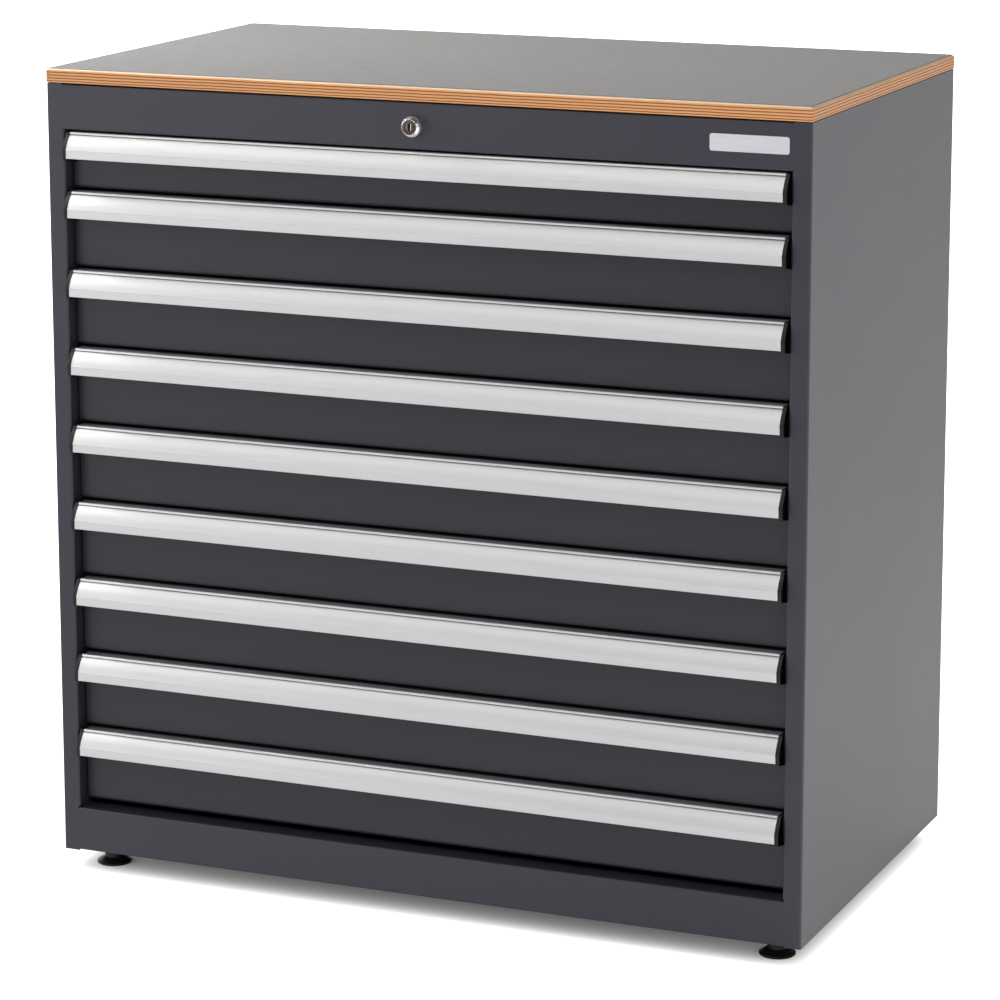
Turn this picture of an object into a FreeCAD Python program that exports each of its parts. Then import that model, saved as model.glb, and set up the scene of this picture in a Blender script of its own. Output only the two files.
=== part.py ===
import FreeCAD, Part
import math
import os

# Tool cabinet with nine full-width drawers, a central lock, a plywood worktop and four levelling feet.
# Millimetres. X is the cabinet's width, the drawers open towards -Y, Z is up.
# The origin is on the floor, in the middle of the cabinet's outline.

Vector = FreeCAD.Vector

# Carcass
cabinet_width = 1006.0
cabinet_depth = 572.0
foot_height = 27.0
carcass_sheet = 1.5
bend_radius = 1.0
post_width = 24.0
jamb_depth = 30.0
rear_flange = 22.0
header_height = 58.5
header_return = 25.0
header_top_gap = 1.0
plinth_height = 57.5
plinth_bottom_gap = 0.8
plinth_bottom_fold = 12.0
sill_depth = 34.0
sill_lip = 12.0
corner_relief_height = 2.5
corner_relief_depth = 10.0
top_panel_skirt = 12.0
base_panel_skirt = 14.0
panel_gap = 0.5

# Drawers: a low one at the top, and high ones under it
low_drawer_height = 75.0
high_drawer_height = 100.0
high_drawer_count = 8
top_gap = 3.2
sill_gap = 5.8
front_gap = 2.4
front_side_gap = 2.0
front_recess = 18.0
front_depth = 12.0
drawer_sheet = 1.0
front_edge_radius = 1.5
front_bottom_radius = 5.0
tray_depth = 510.0
tray_above_front_bottom = 6.0
tray_below_front_top = 15.0
tray_rim = 8.0
drawer_travel = 500.0

# Telescopic runners
roller_diameter = 20.0
roller_width = 6.0
roller_running_gap = 0.3
roller_side_gap = 0.4
roller_bore_gap = 0.1
axle_radius = 4.0
axle_head_radius = 6.5
axle_head_thickness = 1.0
rail_sheet = 1.5
rail_length = 500.0
cabinet_rail_reach = 30.0
drawer_rail_width = 10.5
rail_above_tray_bottom = 24.0
rail_behind_jamb = 6.0
carriage_bar = 3.0
carriage_bar_height = 24.0
carriage_side_gap = 0.5
carriage_setback = 2.0
carriage_length = 480.0
roller_end_distance = 13.0
roller_spacing = 175.0

# Handle profile, measured out from the drawer's front and down from the drawer's top
handle_end_inset = 30.5
handle_wall = 2.0
handle_height = 32.0
handle_reach = 29.5
handle_bead_reach = 18.0
handle_bead_radius = 3.0
handle_bead_rise = 1.0
handle_groove_depth = 0.8
handle_groove_height = 1.0
handle_face_bulge = 1.2
handle_lip_height = 11.0
handle_lip_setback = 0.6
handle_back_height = 24.0
cap_post_gap = 1.0
cap_rim = 0.8
cap_below_handle = 2.8
cap_heel = 7.0
cap_heel_width = 4.0

# Lock
lock_below_top = 30.0
lock_stand_out = 14.0
lock_base_radius = 13.5
lock_face_radius = 10.5
lock_rim_radius = 1.5
lock_face_dish = 1.2
lock_barrel_radius = 9.5
lock_barrel_length = 24.0
lock_hole_gap = 0.3
lock_plug_radius = 7.0
lock_plug_gap = 0.05
lock_plug_sink = 0.5
keyway_width = 2.0
keyway_height = 8.0
keyway_depth = 12.0
lock_nut_width = 24.0
lock_nut_thickness = 5.0
tang_width = 7.0
tang_length = 3.2
cam_radius = 10.0
cam_thickness = 2.5
cam_gap = 0.4
cam_pin_radius = 2.5
cam_pin_end_gap = 1.0
lock_travel = 8.0
link_height = 22.0
link_slot_gap = 0.4
lock_bar_sheet = 2.0
lock_bar_behind_jamb = 1.0
lock_bar_width = 10.0
lock_bar_inset = 5.0
lug_tip_behind_jamb_face = 0.5
lug_height = 16.0
guide_height = 16.0
guide_depth = 10.0
guide_gap = 0.3
guide_floor = 3.0

# Name plate
plate_length = 98.0
plate_height = 20.5
plate_thickness = 1.0
plate_corner_radius = 3.0
plate_from_side = 27.5
plate_below_top = 18.7

# Worktop
worktop_thickness = 18.0
surface_thickness = 0.8
board_chamfer = 2.2

# Levelling feet
foot_from_side = 46.0
foot_from_front = 49.0
foot_from_back = 49.0
pad_radius = 22.5
pad_rim_height = 3.5
pad_cone_top = 8.5
pad_edge = 1.0
hub_radius = 12.5
hub_top = 20.5
socket_floor = 6.0
stud_radius = 6.0
stud_socket_gap = 0.1
stud_thread_gap = 0.05
stud_end_gap = 0.3
stud_length = 70.0
stud_hex_width = 17.0
stud_hex_height = 7.0
foot_nut_width = 18.0
foot_nut_height = 10.0

# Places that follow from the sizes
drawer_modules = [low_drawer_height] + [high_drawer_height] * high_drawer_count
half_width = cabinet_width / 2
front = -(cabinet_depth - lock_stand_out) / 2
back = front + cabinet_depth
bottom = foot_height
cabinet_height = plinth_height + sill_gap + sum(drawer_modules) + top_gap + header_height
top = bottom + cabinet_height
opening_top = top - header_height
opening_bottom = bottom + plinth_height
outer_bend = bend_radius + carcass_sheet
base_underside = bottom + plinth_bottom_gap + carcass_sheet
flange_flat = post_width - outer_bend
drawer_face = front + front_recess
tray_front = drawer_face + front_depth
rail_height = roller_diameter + 2 * (roller_running_gap + rail_sheet)
rail_start = front + jamb_depth + rail_behind_jamb
bar_outside = half_width - carcass_sheet - cabinet_rail_reach - carriage_side_gap
bar_inside = bar_outside - carriage_bar
drawer_rail_outside = bar_inside - carriage_side_gap
tray_half_width = drawer_rail_outside - drawer_rail_width
front_half_width = half_width - post_width - front_side_gap
lock_height = top - lock_below_top
crank_radius = lock_travel / math.sqrt(2)
lock_bar_front = front + jamb_depth + lock_bar_behind_jamb
link_front = lock_bar_front + lock_bar_sheet


def plan_point(x, y):
    return Vector(x, y, 0)


def end_point(y, z):
    return Vector(0, y, z)


def front_point(x, z):
    return Vector(x, 0, z)


def box(x0, x1, y0, y1, z0, z1):
    return Part.makeBox(x1 - x0, y1 - y0, z1 - z0, Vector(x0, y0, z0))


def drawn(points, place):
    """A flat face with straight sides and arcs: a point is (a, b), or (a, b, c, d) to come from the point
    before by an arc through (c, d)."""
    edges = []
    for start, end in zip(points, points[1:] + points[:1]):
        here = place(*start[:2])
        there = place(*end[:2])
        if len(end) == 4:
            edges.append(Part.Arc(here, place(*end[2:]), there).toShape())
        else:
            edges.append(Part.LineSegment(here, there).toShape())
    return Part.Face(Part.Wire(edges))


def unit(start, end):
    length = math.dist(start, end)
    return (end[0] - start[0]) / length, (end[1] - start[1]) / length


def left_of(direction):
    return -direction[1], direction[0]


def beside(points, distance):
    """The corners of the path that runs beside a path, at a distance to its left."""
    ways = [left_of(unit(a, b)) for a, b in zip(points, points[1:])]
    moved = []
    for index, point in enumerate(points):
        before = ways[max(index - 1, 0)]
        after = ways[min(index, len(ways) - 1)]
        share = distance / (1 + before[0] * after[0] + before[1] * after[1])
        moved.append((point[0] + share * (before[0] + after[0]), point[1] + share * (before[1] + after[1])))
    return moved


def rounded(points, left_radius, right_radius):
    """An open path's points with each corner rounded, by one radius where it turns left and another where it
    turns right."""
    path = [points[0]]
    for before, corner, after in zip(points, points[1:], points[2:]):
        coming = unit(before, corner)
        going = unit(corner, after)
        turn = coming[0] * going[1] - coming[1] * going[0]
        radius = left_radius if turn > 0 else right_radius
        half_turn = abs(math.asin(turn)) / 2
        reach = radius * math.tan(half_turn)
        inward = unit((0, 0), (going[0] - coming[0], going[1] - coming[1]))
        depth = radius / math.cos(half_turn) - radius
        path.append((corner[0] - coming[0] * reach, corner[1] - coming[1] * reach))
        path.append((corner[0] + going[0] * reach, corner[1] + going[1] * reach,
                     corner[0] + inward[0] * depth, corner[1] + inward[1] * depth))
    return path + [points[-1]]


def reversed_path(path):
    """The same path from its other end: an arc's middle moves to the point that the arc now ends at."""
    turned = [path[-1][:2]]
    for here, before in zip(reversed(path), reversed(path[:-1])):
        turned.append(before[:2] + here[2:])
    return turned


def folded(points, thickness, place, along):
    """A sheet folded along an open path, with its thickness to the path's left, drawn out by a vector."""
    face_side = rounded(points, bend_radius + thickness, bend_radius)
    back_side = rounded(beside(points, thickness), bend_radius, bend_radius + thickness)
    return drawn(face_side + reversed_path(back_side), place).extrude(along)


def joined(first, *others):
    return first.fuse(list(others)).removeSplitter()


def mirrored(shape):
    return shape.mirror(Vector(0, 0, 0), Vector(1, 0, 0))


def turned_about(points, place, centre, axis):
    """A solid of revolution from a flat outline."""
    return drawn(points, place).revolve(centre, axis, 360)


def hexagon(width, centre, thickness):
    """A hexagonal prism that stands on centre, up Z, with its flats a width apart."""
    radius = width / math.sqrt(3)
    turn = math.radians(60)
    corners = [centre + Vector(radius * math.cos(turn * i), radius * math.sin(turn * i), 0) for i in range(6)]
    return Part.Face(Part.makePolygon(corners + corners[:1])).extrude(Vector(0, 0, thickness))


def edges_along(shape, direction, near):
    """The straight edges of a box that run along a direction and pass near a point, seen along them."""
    found = []
    for edge in shape.Edges:
        way = edge.tangentAt(edge.FirstParameter)
        offset = edge.CenterOfMass - near
        if abs(way.dot(direction)) > 0.99 and offset.cross(direction).Length < 0.01:
            found.append(edge)
    return found


def save(node, *solids):
    shape = solids[0] if len(solids) == 1 else Part.makeCompound(list(solids))
    shape.exportStep("parts/" + node + ".step")


def drawer_tops():
    """The height of each drawer's upper edge."""
    tops = []
    height = opening_top - top_gap
    for module in drawer_modules:
        tops.append(height)
        height -= module
    return tops


def side_panel():
    """The left side: wall, front post with its jamb, rear flange and top flange."""
    outside = -half_width
    path = [
        (outside + rear_flange, back),
        (outside, back),
        (outside, front),
        (outside + post_width, front),
        (outside + post_width, front + jamb_depth),
    ]
    wall = folded(path, carcass_sheet, plan_point, Vector(0, 0, cabinet_height))
    wall.translate(Vector(0, 0, bottom))
    flange = box(outside + carcass_sheet / 2, outside + flange_flat, front + outer_bend, back - outer_bend,
                 top - carcass_sheet, top)
    jamb = (outside + flange_flat, outside + post_width)
    cuts = [
        box(*jamb, front, front + jamb_depth, bottom, opening_bottom),
        box(*jamb, front, front + jamb_depth, opening_top, top),
        box(*jamb, front, front + corner_relief_depth, opening_bottom, opening_bottom + corner_relief_height),
    ]
    return joined(wall, flange).cut(cuts)


def guide(height, has_floor):
    """A fork on the left side panel that the locking bar slides in."""
    outside = -half_width
    middle = lock_bar_front + lock_bar_sheet / 2
    low = height - guide_height / 2
    high = height + guide_height / 2
    slot_floor = low + guide_floor if has_floor else low
    right_end = outside + flange_flat - panel_gap
    block = box(outside + carcass_sheet, right_end, middle - guide_depth / 2, middle + guide_depth / 2,
                low, high)
    slot = box(outside + lock_bar_inset - guide_gap, right_end, lock_bar_front - guide_gap,
               lock_bar_front + lock_bar_sheet + guide_gap, slot_floor, high)
    return block.cut(slot)


def guide_heights():
    """The locking bar's guides are level with the gaps under the first, the middle and the last drawer."""
    gaps = [high - module for high, module in zip(drawer_tops(), drawer_modules)]
    return [gaps[0], gaps[len(gaps) // 2], gaps[-1]]


def save_carcass():
    plain_side = side_panel()
    heights = guide_heights()
    guides = [guide(height, height == heights[-1]) for height in heights]
    save("side_panel_left", joined(plain_side, *guides))
    save("side_panel_right", mirrored(plain_side))

    inner_half = half_width - outer_bend
    inner_back = back - 2 * carcass_sheet
    save("back_panel", box(-inner_half, inner_half, inner_back, back - carcass_sheet,
                           bottom + panel_gap, top - carcass_sheet))

    skin = top - carcass_sheet
    top_front = front + header_return + panel_gap
    save("top_panel", box(-inner_half, inner_half, top_front, inner_back, skin - top_panel_skirt, skin).cut(
        box(-inner_half + carcass_sheet, inner_half - carcass_sheet, top_front + carcass_sheet,
            inner_back - carcass_sheet, skin - top_panel_skirt, skin - carcass_sheet)))

    save("base_panel", base_panel(inner_half, inner_back))

    between = Vector(2 * (half_width - flange_flat), 0, 0)
    start = Vector(-half_width + flange_flat, 0, 0)
    header_top = top - header_top_gap
    header = folded([
        (front + header_return, header_top),
        (front, header_top),
        (front, opening_top),
        (front + header_return, opening_top),
    ], carcass_sheet, end_point, between)
    header.translate(start)
    lock_hole = Part.makeCylinder(lock_barrel_radius + lock_hole_gap, 2 * carcass_sheet,
                                  Vector(0, front - carcass_sheet / 2, lock_height), Vector(0, 1, 0))
    save("front_header", header.cut(lock_hole))

    plinth_bottom = bottom + plinth_bottom_gap
    plinth = folded([
        (front + sill_depth, opening_bottom - sill_lip),
        (front + sill_depth, opening_bottom),
        (front, opening_bottom),
        (front, plinth_bottom),
        (front + plinth_bottom_fold, plinth_bottom),
    ], carcass_sheet, end_point, between)
    plinth.translate(start)
    save("plinth_rail", plinth)


def foot_places():
    """The axis of each levelling foot, by name."""
    side = half_width - foot_from_side
    return {
        "front_left": Vector(-side, front + foot_from_front, 0),
        "front_right": Vector(side, front + foot_from_front, 0),
        "back_left": Vector(-side, back - foot_from_back, 0),
        "back_right": Vector(side, back - foot_from_back, 0),
    }


def base_panel(inner_half, inner_back):
    """The floor sheet with its upturned skirts, on the plinth's lower fold, with a nut over each foot."""
    low = base_underside
    high = low + base_panel_skirt
    inner_front = front + outer_bend
    sheet = box(-inner_half, inner_half, inner_front, inner_back, low, high).cut(
        box(-inner_half + carcass_sheet, inner_half - carcass_sheet, inner_front + carcass_sheet,
            inner_back - carcass_sheet, low + carcass_sheet, high))
    places = [place + Vector(0, 0, low) for place in foot_places().values()]
    nuts = [hexagon(foot_nut_width, place, carcass_sheet + foot_nut_height) for place in places]
    bores = [Part.makeCylinder(stud_radius + stud_thread_gap, carcass_sheet + foot_nut_height, place)
             for place in places]
    return joined(sheet, *nuts).cut(bores)


def save_feet():
    """Each foot is a pad with a hub, and a stud that turns in the hub and in the nut above."""
    pad = turned_about([
        (0, 0),
        (pad_radius - pad_edge, 0),
        (pad_radius, pad_edge),
        (pad_radius, pad_rim_height - pad_edge),
        (pad_radius - pad_edge, pad_rim_height),
        (hub_radius, pad_cone_top),
        (hub_radius, hub_top),
        (stud_radius + stud_socket_gap, hub_top),
        (stud_radius + stud_socket_gap, socket_floor),
        (0, socket_floor),
    ], front_point, Vector(0, 0, 0), Vector(0, 0, 1))
    stud = Part.makeCylinder(stud_radius, stud_length, Vector(0, 0, socket_floor + stud_end_gap))
    grip_low = base_underside - stud_end_gap - stud_hex_height
    grip = hexagon(stud_hex_width, Vector(0, 0, grip_low), stud_hex_height)
    stud = joined(stud, grip)
    for name, place in foot_places().items():
        save("foot_pad_" + name, pad.translated(place))
        save("foot_stud_" + name, stud.translated(place))


def front_pan(low, high):
    """A drawer's folded front: rounded at its edges, most at the bottom, and open at the back."""
    def block(inset):
        half = front_half_width - inset
        y0 = drawer_face + inset
        z0 = low + inset
        z1 = high - inset
        solid = box(-half, half, y0, tray_front, z0, z1)
        across = Vector(1, 0, 0)
        upright = Vector(0, 0, 1)
        bottom_edge = edges_along(solid, across, Vector(0, y0, z0))
        other_edges = edges_along(solid, across, Vector(0, y0, z1))
        other_edges += edges_along(solid, upright, Vector(-half, y0, 0))
        other_edges += edges_along(solid, upright, Vector(half, y0, 0))
        solid = solid.makeFillet(front_edge_radius - inset, other_edges)
        bottom_edge = edges_along(solid, across, Vector(0, y0, z0))
        return solid.makeFillet(front_bottom_radius - inset, bottom_edge)
    return block(0).cut(block(drawer_sheet))


def tray(low, high):
    """A drawer's open box with its rims and the two rails that its carriages' rollers run in."""
    y0 = tray_front
    y1 = tray_front + tray_depth
    half = tray_half_width
    shell = box(-half, half, y0, y1, low, high).cut(
        box(-half + drawer_sheet, half - drawer_sheet, y0 + drawer_sheet, y1 - drawer_sheet,
            low + drawer_sheet, high))
    rim = box(-half - tray_rim, -half, y0, y1, high - drawer_sheet, high)
    middle = low + rail_above_tray_bottom
    rail = folded([
        (-drawer_rail_outside, middle - rail_height / 2),
        (-half, middle - rail_height / 2),
        (-half, middle + rail_height / 2),
        (-drawer_rail_outside, middle + rail_height / 2),
    ], rail_sheet, front_point, Vector(0, rail_length, 0))
    rail.translate(Vector(0, rail_start - carriage_setback, 0))
    return joined(shell, rim, mirrored(rim), rail, mirrored(rail))


def cabinet_rail(middle):
    """The left rail on the side panel: a deep channel that opens inwards."""
    web = -half_width + carcass_sheet
    mouth = web + cabinet_rail_reach
    rail = folded([
        (mouth, middle + rail_height / 2),
        (web, middle + rail_height / 2),
        (web, middle - rail_height / 2),
        (mouth, middle - rail_height / 2),
    ], rail_sheet, front_point, Vector(0, rail_length, 0))
    rail.translate(Vector(0, rail_start, 0))
    return rail


def carriage_side(middle):
    """The left carriage: a bar with two rollers outwards at its rear and two inwards at its front."""
    start = rail_start + carriage_setback
    end = start + carriage_length
    bar = box(-bar_outside, -bar_inside, start, end, middle - carriage_bar_height / 2,
              middle + carriage_bar_height / 2)
    reach = roller_width + 2 * roller_side_gap
    rear = end - roller_end_distance
    near = start + roller_end_distance
    axles = []
    rollers = []
    for face, way, y in [
        (-bar_outside, -1, rear),
        (-bar_outside, -1, rear - roller_spacing),
        (-bar_inside, 1, near),
        (-bar_inside, 1, near + roller_spacing),
    ]:
        out = Vector(way, 0, 0)
        foot = Vector(face, y, middle)
        axles.append(Part.makeCylinder(axle_radius, reach, foot, out))
        axles.append(Part.makeCylinder(axle_head_radius, axle_head_thickness, foot + out * reach, out))
        side = foot + out * roller_side_gap
        rollers.append(Part.makeCylinder(roller_diameter / 2, roller_width, side, out).cut(
            Part.makeCylinder(axle_radius + roller_bore_gap, roller_width, side, out)))
    return [joined(bar, *axles)] + rollers


def handle_outline():
    """The handle's section: (out from the drawer's front, down from its top)."""
    ridge = handle_height - handle_lip_height
    groove_top = handle_bead_radius - handle_bead_rise
    face_start = groove_top + handle_groove_height
    lip = handle_reach - handle_lip_setback
    inner_lip = lip - handle_wall
    slope = unit((handle_bead_reach, -face_start), (handle_reach, -ridge))
    outward = (-slope[1], slope[0])
    middle = ((handle_bead_reach + handle_reach) / 2 + outward[0] * handle_face_bulge,
              -(face_start + ridge) / 2 + outward[1] * handle_face_bulge)
    inner_start = (handle_bead_reach - outward[0] * handle_wall, -face_start - outward[1] * handle_wall)
    drop = (inner_lip - inner_start[0]) / slope[0] * slope[1]
    inner_end = (inner_lip, inner_start[1] + drop)
    inner_middle = ((inner_start[0] + inner_end[0]) / 2 + outward[0] * handle_face_bulge,
                    (inner_start[1] + inner_end[1]) / 2 + outward[1] * handle_face_bulge)
    bead = handle_bead_reach - handle_bead_radius
    corner = handle_bead_radius * math.sqrt(0.5)
    return [
        (0, 0),
        (bead - 2 * handle_bead_rise, 0),
        (bead, handle_bead_rise),
        (handle_bead_reach, -groove_top, bead + corner, -groove_top + corner),
        (handle_bead_reach - handle_groove_depth, -groove_top),
        (handle_bead_reach - handle_groove_depth, -face_start),
        (handle_bead_reach, -face_start),
        (handle_reach, -ridge, *middle),
        (handle_reach, -ridge - handle_lip_setback),
        (lip, -ridge - 2 * handle_lip_setback),
        (lip, -handle_height),
        (inner_lip, -handle_height),
        inner_end,
        (*inner_start, *inner_middle),
        (bead, -handle_wall),
        (handle_wall, -handle_wall),
        (handle_wall, -handle_back_height),
        (0, -handle_back_height),
    ]


def cap_outline():
    """The end cap's section: the handle's outside with a rim, lower at its foot, lowest at its heel."""
    ridge = handle_height - handle_lip_height
    face_start = handle_bead_radius - handle_bead_rise + handle_groove_height
    slope = unit((handle_bead_reach, -face_start), (handle_reach, -ridge))
    outward = (-slope[1], slope[0])
    reach = handle_face_bulge + cap_rim
    middle = ((handle_bead_reach + handle_reach) / 2 + outward[0] * reach,
              -(face_start + ridge) / 2 + outward[1] * reach)
    bead = handle_bead_reach - handle_bead_radius
    bead_radius = handle_bead_radius + cap_rim
    corner = bead_radius * math.sqrt(0.5)
    foot = -handle_height - cap_below_handle
    toe = cap_below_handle
    toe_corner = toe * (1 - math.sqrt(0.5))
    nose = handle_reach + cap_rim
    return [
        (0, 0),
        (bead - 2 * handle_bead_rise, 0),
        (bead, handle_bead_rise),
        (bead + bead_radius, handle_bead_rise - bead_radius, bead + corner,
         handle_bead_rise - bead_radius + corner),
        (nose, -ridge, *middle),
        (nose, foot + toe),
        (nose - toe, foot, nose - toe_corner, foot + toe_corner),
        (cap_heel_width, -handle_height - cap_heel),
        (0, -handle_height - cap_heel),
    ]


def on_drawer(outline, high, start, length):
    """A section that sits on a drawer's face below a height, drawn out along X."""
    def place(out, up):
        return Vector(start, drawer_face - out, high + up)
    return drawn(outline, place).extrude(Vector(length, 0, 0))


def save_drawers():
    handle_half = half_width - handle_end_inset
    cap_outer = half_width - post_width - cap_post_gap
    rails = []
    for number, (high, module) in enumerate(zip(drawer_tops(), drawer_modules), 1):
        name = "drawer_%d_" % number
        front_low = high - module + front_gap
        tray_low = front_low + tray_above_front_bottom
        rail_middle = tray_low + rail_above_tray_bottom
        save(name + "box", front_pan(front_low, high), tray(tray_low, high - tray_below_front_top))
        save(name + "handle", on_drawer(handle_outline(), high, -handle_half, 2 * handle_half))
        cap = on_drawer(cap_outline(), high, -cap_outer, cap_outer - handle_half)
        save(name + "end_caps", cap, mirrored(cap))
        left = carriage_side(rail_middle)
        save(name + "carriage", *left, *[mirrored(solid) for solid in left])
        rail = cabinet_rail(rail_middle)
        rails += [rail, mirrored(rail)]
    save("cabinet_rails", *rails)


def lock_point(radius, depth):
    """A place in a section through the lock: out from its axis, and back from the header's face."""
    return Vector(radius, front + depth, lock_height)


def save_lock():
    centre = Vector(0, front, lock_height)
    inward = Vector(0, 1, 0)
    face = -lock_stand_out
    bore = lock_plug_radius + lock_plug_gap
    rim_corner = lock_rim_radius * (1 - math.sqrt(0.5))
    housing = turned_about([
        (bore, face + lock_face_dish),
        (lock_face_radius - 2 * lock_rim_radius, face),
        (lock_face_radius - lock_rim_radius, face),
        (lock_face_radius, face + lock_rim_radius, lock_face_radius - rim_corner, face + rim_corner),
        (lock_base_radius, -lock_rim_radius),
        (lock_base_radius, 0),
        (lock_barrel_radius, 0),
        (lock_barrel_radius, lock_barrel_length),
        (bore, lock_barrel_length),
    ], lock_point, centre, inward)
    save("lock_housing", housing)

    nut = hexagon(lock_nut_width, Vector(0, 0, 0), lock_nut_thickness)
    nut = nut.cut(Part.makeCylinder(lock_barrel_radius + lock_plug_gap, lock_nut_thickness))
    nut.rotate(Vector(0, 0, 0), Vector(1, 0, 0), -90)
    save("lock_nut", nut.translated(centre + inward * carcass_sheet))

    plug_face = face + lock_face_dish + lock_plug_sink
    plug_back = lock_barrel_length + cam_gap
    plug = Part.makeCylinder(lock_plug_radius, plug_back - plug_face, centre + inward * plug_face, inward)
    keyway = box(-keyway_width / 2, keyway_width / 2, front + plug_face, front + plug_face + keyway_depth,
                 lock_height - keyway_height / 2, lock_height + keyway_height / 2)
    tang = box(-tang_width / 2, tang_width / 2, front + plug_back, front + plug_back + tang_length,
               lock_height - tang_width / 2, lock_height + tang_width / 2)
    save("lock_plug", joined(plug.cut(keyway), tang))

    side = crank_radius * math.sqrt(0.5)
    crank = Vector(-side, 0, side)
    cam_back = plug_back + cam_thickness
    cam = Part.makeCylinder(cam_radius, cam_thickness, centre + inward * plug_back, inward).cut(tang)
    pin_end = link_front + lock_bar_sheet + cam_pin_end_gap - front
    pin = Part.makeCylinder(cam_pin_radius, pin_end - cam_back + cam_thickness / 2,
                            centre + crank + inward * (cam_back - cam_thickness / 2), inward)
    save("lock_cam", joined(cam, pin.cut(tang)))

    outside = -half_width + lock_bar_inset
    link_low = lock_height - link_height / 2
    link_high = lock_height + link_height / 2
    slot_half = cam_pin_radius + link_slot_gap
    link = box(outside, cam_radius, link_front, link_front + lock_bar_sheet, link_low, link_high).cut(
        box(-side - slot_half, -side + slot_half, link_front, link_front + lock_bar_sheet,
            lock_height + side - slot_half, lock_height + crank_radius + slot_half))
    upright_low = guide_heights()[-1] - guide_height / 2 + guide_floor + guide_gap
    upright = box(outside, outside + lock_bar_width, lock_bar_front, link_front, upright_low, link_high)
    lug_tip = -half_width + post_width - lug_tip_behind_jamb_face
    lugs = []
    for high, module in zip(drawer_tops(), drawer_modules):
        middle = high - module + front_gap + tray_above_front_bottom + rail_above_tray_bottom
        lugs.append(box(outside + lock_bar_width, lug_tip, lock_bar_front, link_front,
                        middle - lug_height / 2, middle + lug_height / 2))
    save("lock_bar", link, joined(upright, *lugs))


def save_name_plate():
    right = half_width - plate_from_side
    high = top - plate_below_top
    plate = box(right - plate_length, right, front - plate_thickness, front, high - plate_height, high)
    through = Vector(0, 1, 0)
    corners = []
    for x in (right - plate_length, right):
        for z in (high - plate_height, high):
            corners += edges_along(plate, through, Vector(x, 0, z))
    save("name_plate", plate.makeFillet(plate_corner_radius, corners))


def bevelled_slab(half_x, half_y, high, bevel):
    """A slab as thick as its bevel, at 45 degrees on all four sides, under a height."""
    middle_y = (front + back) / 2

    def outline(inset, z):
        corners = [Vector(way_x * (half_x - inset), middle_y + way_y * (half_y - inset), z)
                   for way_x, way_y in ((-1, -1), (1, -1), (1, 1), (-1, 1))]
        return Part.makePolygon(corners + corners[:1])

    return Part.makeLoft([outline(0, high - bevel), outline(bevel, high)], True, True)


def save_worktop():
    board_top = top + worktop_thickness - surface_thickness
    half_depth = cabinet_depth / 2
    board = box(-half_width, half_width, front, back, top, board_top - board_chamfer)
    board = joined(board, bevelled_slab(half_width, half_depth, board_top, board_chamfer))
    save("worktop_board", board)
    save("worktop_surface", bevelled_slab(half_width - board_chamfer, half_depth - board_chamfer,
                                          board_top + surface_thickness, surface_thickness))


save_carcass()
save_feet()
save_drawers()
save_lock()
save_name_plate()
save_worktop()
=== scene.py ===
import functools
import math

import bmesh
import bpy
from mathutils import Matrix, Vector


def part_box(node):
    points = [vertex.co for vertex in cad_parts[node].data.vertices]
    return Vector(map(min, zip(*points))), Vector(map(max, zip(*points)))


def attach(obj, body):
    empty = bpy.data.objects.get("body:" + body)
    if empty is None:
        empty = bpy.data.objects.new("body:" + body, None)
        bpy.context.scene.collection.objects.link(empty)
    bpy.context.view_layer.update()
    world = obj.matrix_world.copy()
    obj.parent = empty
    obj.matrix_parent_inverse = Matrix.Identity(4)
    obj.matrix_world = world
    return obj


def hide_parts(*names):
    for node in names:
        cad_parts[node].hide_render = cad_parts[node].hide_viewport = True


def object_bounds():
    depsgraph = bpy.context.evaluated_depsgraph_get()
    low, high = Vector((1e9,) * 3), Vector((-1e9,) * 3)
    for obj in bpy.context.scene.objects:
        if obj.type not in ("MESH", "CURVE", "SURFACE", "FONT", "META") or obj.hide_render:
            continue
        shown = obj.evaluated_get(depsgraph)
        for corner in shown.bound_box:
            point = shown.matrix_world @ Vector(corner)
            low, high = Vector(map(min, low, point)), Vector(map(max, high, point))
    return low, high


bl_info = {
    "name": "Tool cabinet",
    "version": (1, 0, 0),
    "blender": (4, 5, 0),
    "location": "3D View > Sidebar > Cabinet",
    "description": "Builds the shown pieces of a drawer cabinet, with their finishes, and its studio",
    "category": "Object",
}

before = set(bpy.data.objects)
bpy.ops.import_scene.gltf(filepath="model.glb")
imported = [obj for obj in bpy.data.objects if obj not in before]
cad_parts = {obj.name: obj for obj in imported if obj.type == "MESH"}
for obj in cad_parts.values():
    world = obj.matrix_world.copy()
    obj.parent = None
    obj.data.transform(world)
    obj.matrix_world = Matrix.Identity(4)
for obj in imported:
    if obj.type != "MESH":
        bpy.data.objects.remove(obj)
CAD_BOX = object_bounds()

MM = 0.001
SAME_PLACE = 0.01 * MM
LEFT = -1
RIGHT = 1

# Sheet metal
CARCASS_SHEET = 1.5 * MM
OUTER_BEND = 2.5 * MM
BEND_STEPS = 6
SLIGHT = math.radians(30)
SHARP = math.radians(50)
STEEP = math.radians(60)
TOP_GAP = 0.9 * MM
TOP_GAP_DEPTH = 5.0 * MM
POST_WIDTH = 24.0 * MM
JAMB_DEPTH = 30.0 * MM
REAR_FLANGE = 22.0 * MM
HEADER_RETURN = 25.0 * MM
SILL_DEPTH = 34.0 * MM
SILL_LIP = 12.0 * MM
PLINTH_FOLD = 12.0 * MM
RELIEF_HEIGHT = 2.5 * MM
RELIEF_DEPTH = 10.0 * MM
LOCK_HOLE_RADIUS = 9.8 * MM

# Locking bar guides on the left side panel
GUIDE_DEPTH = 10.0 * MM
GUIDE_HEIGHT = 16.0 * MM
GUIDE_WIDTH = 19.5 * MM
GUIDE_SLOT = 2.6 * MM
GUIDE_WEB = 3.2 * MM
GUIDE_SETBACK = 2.0 * MM

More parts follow.
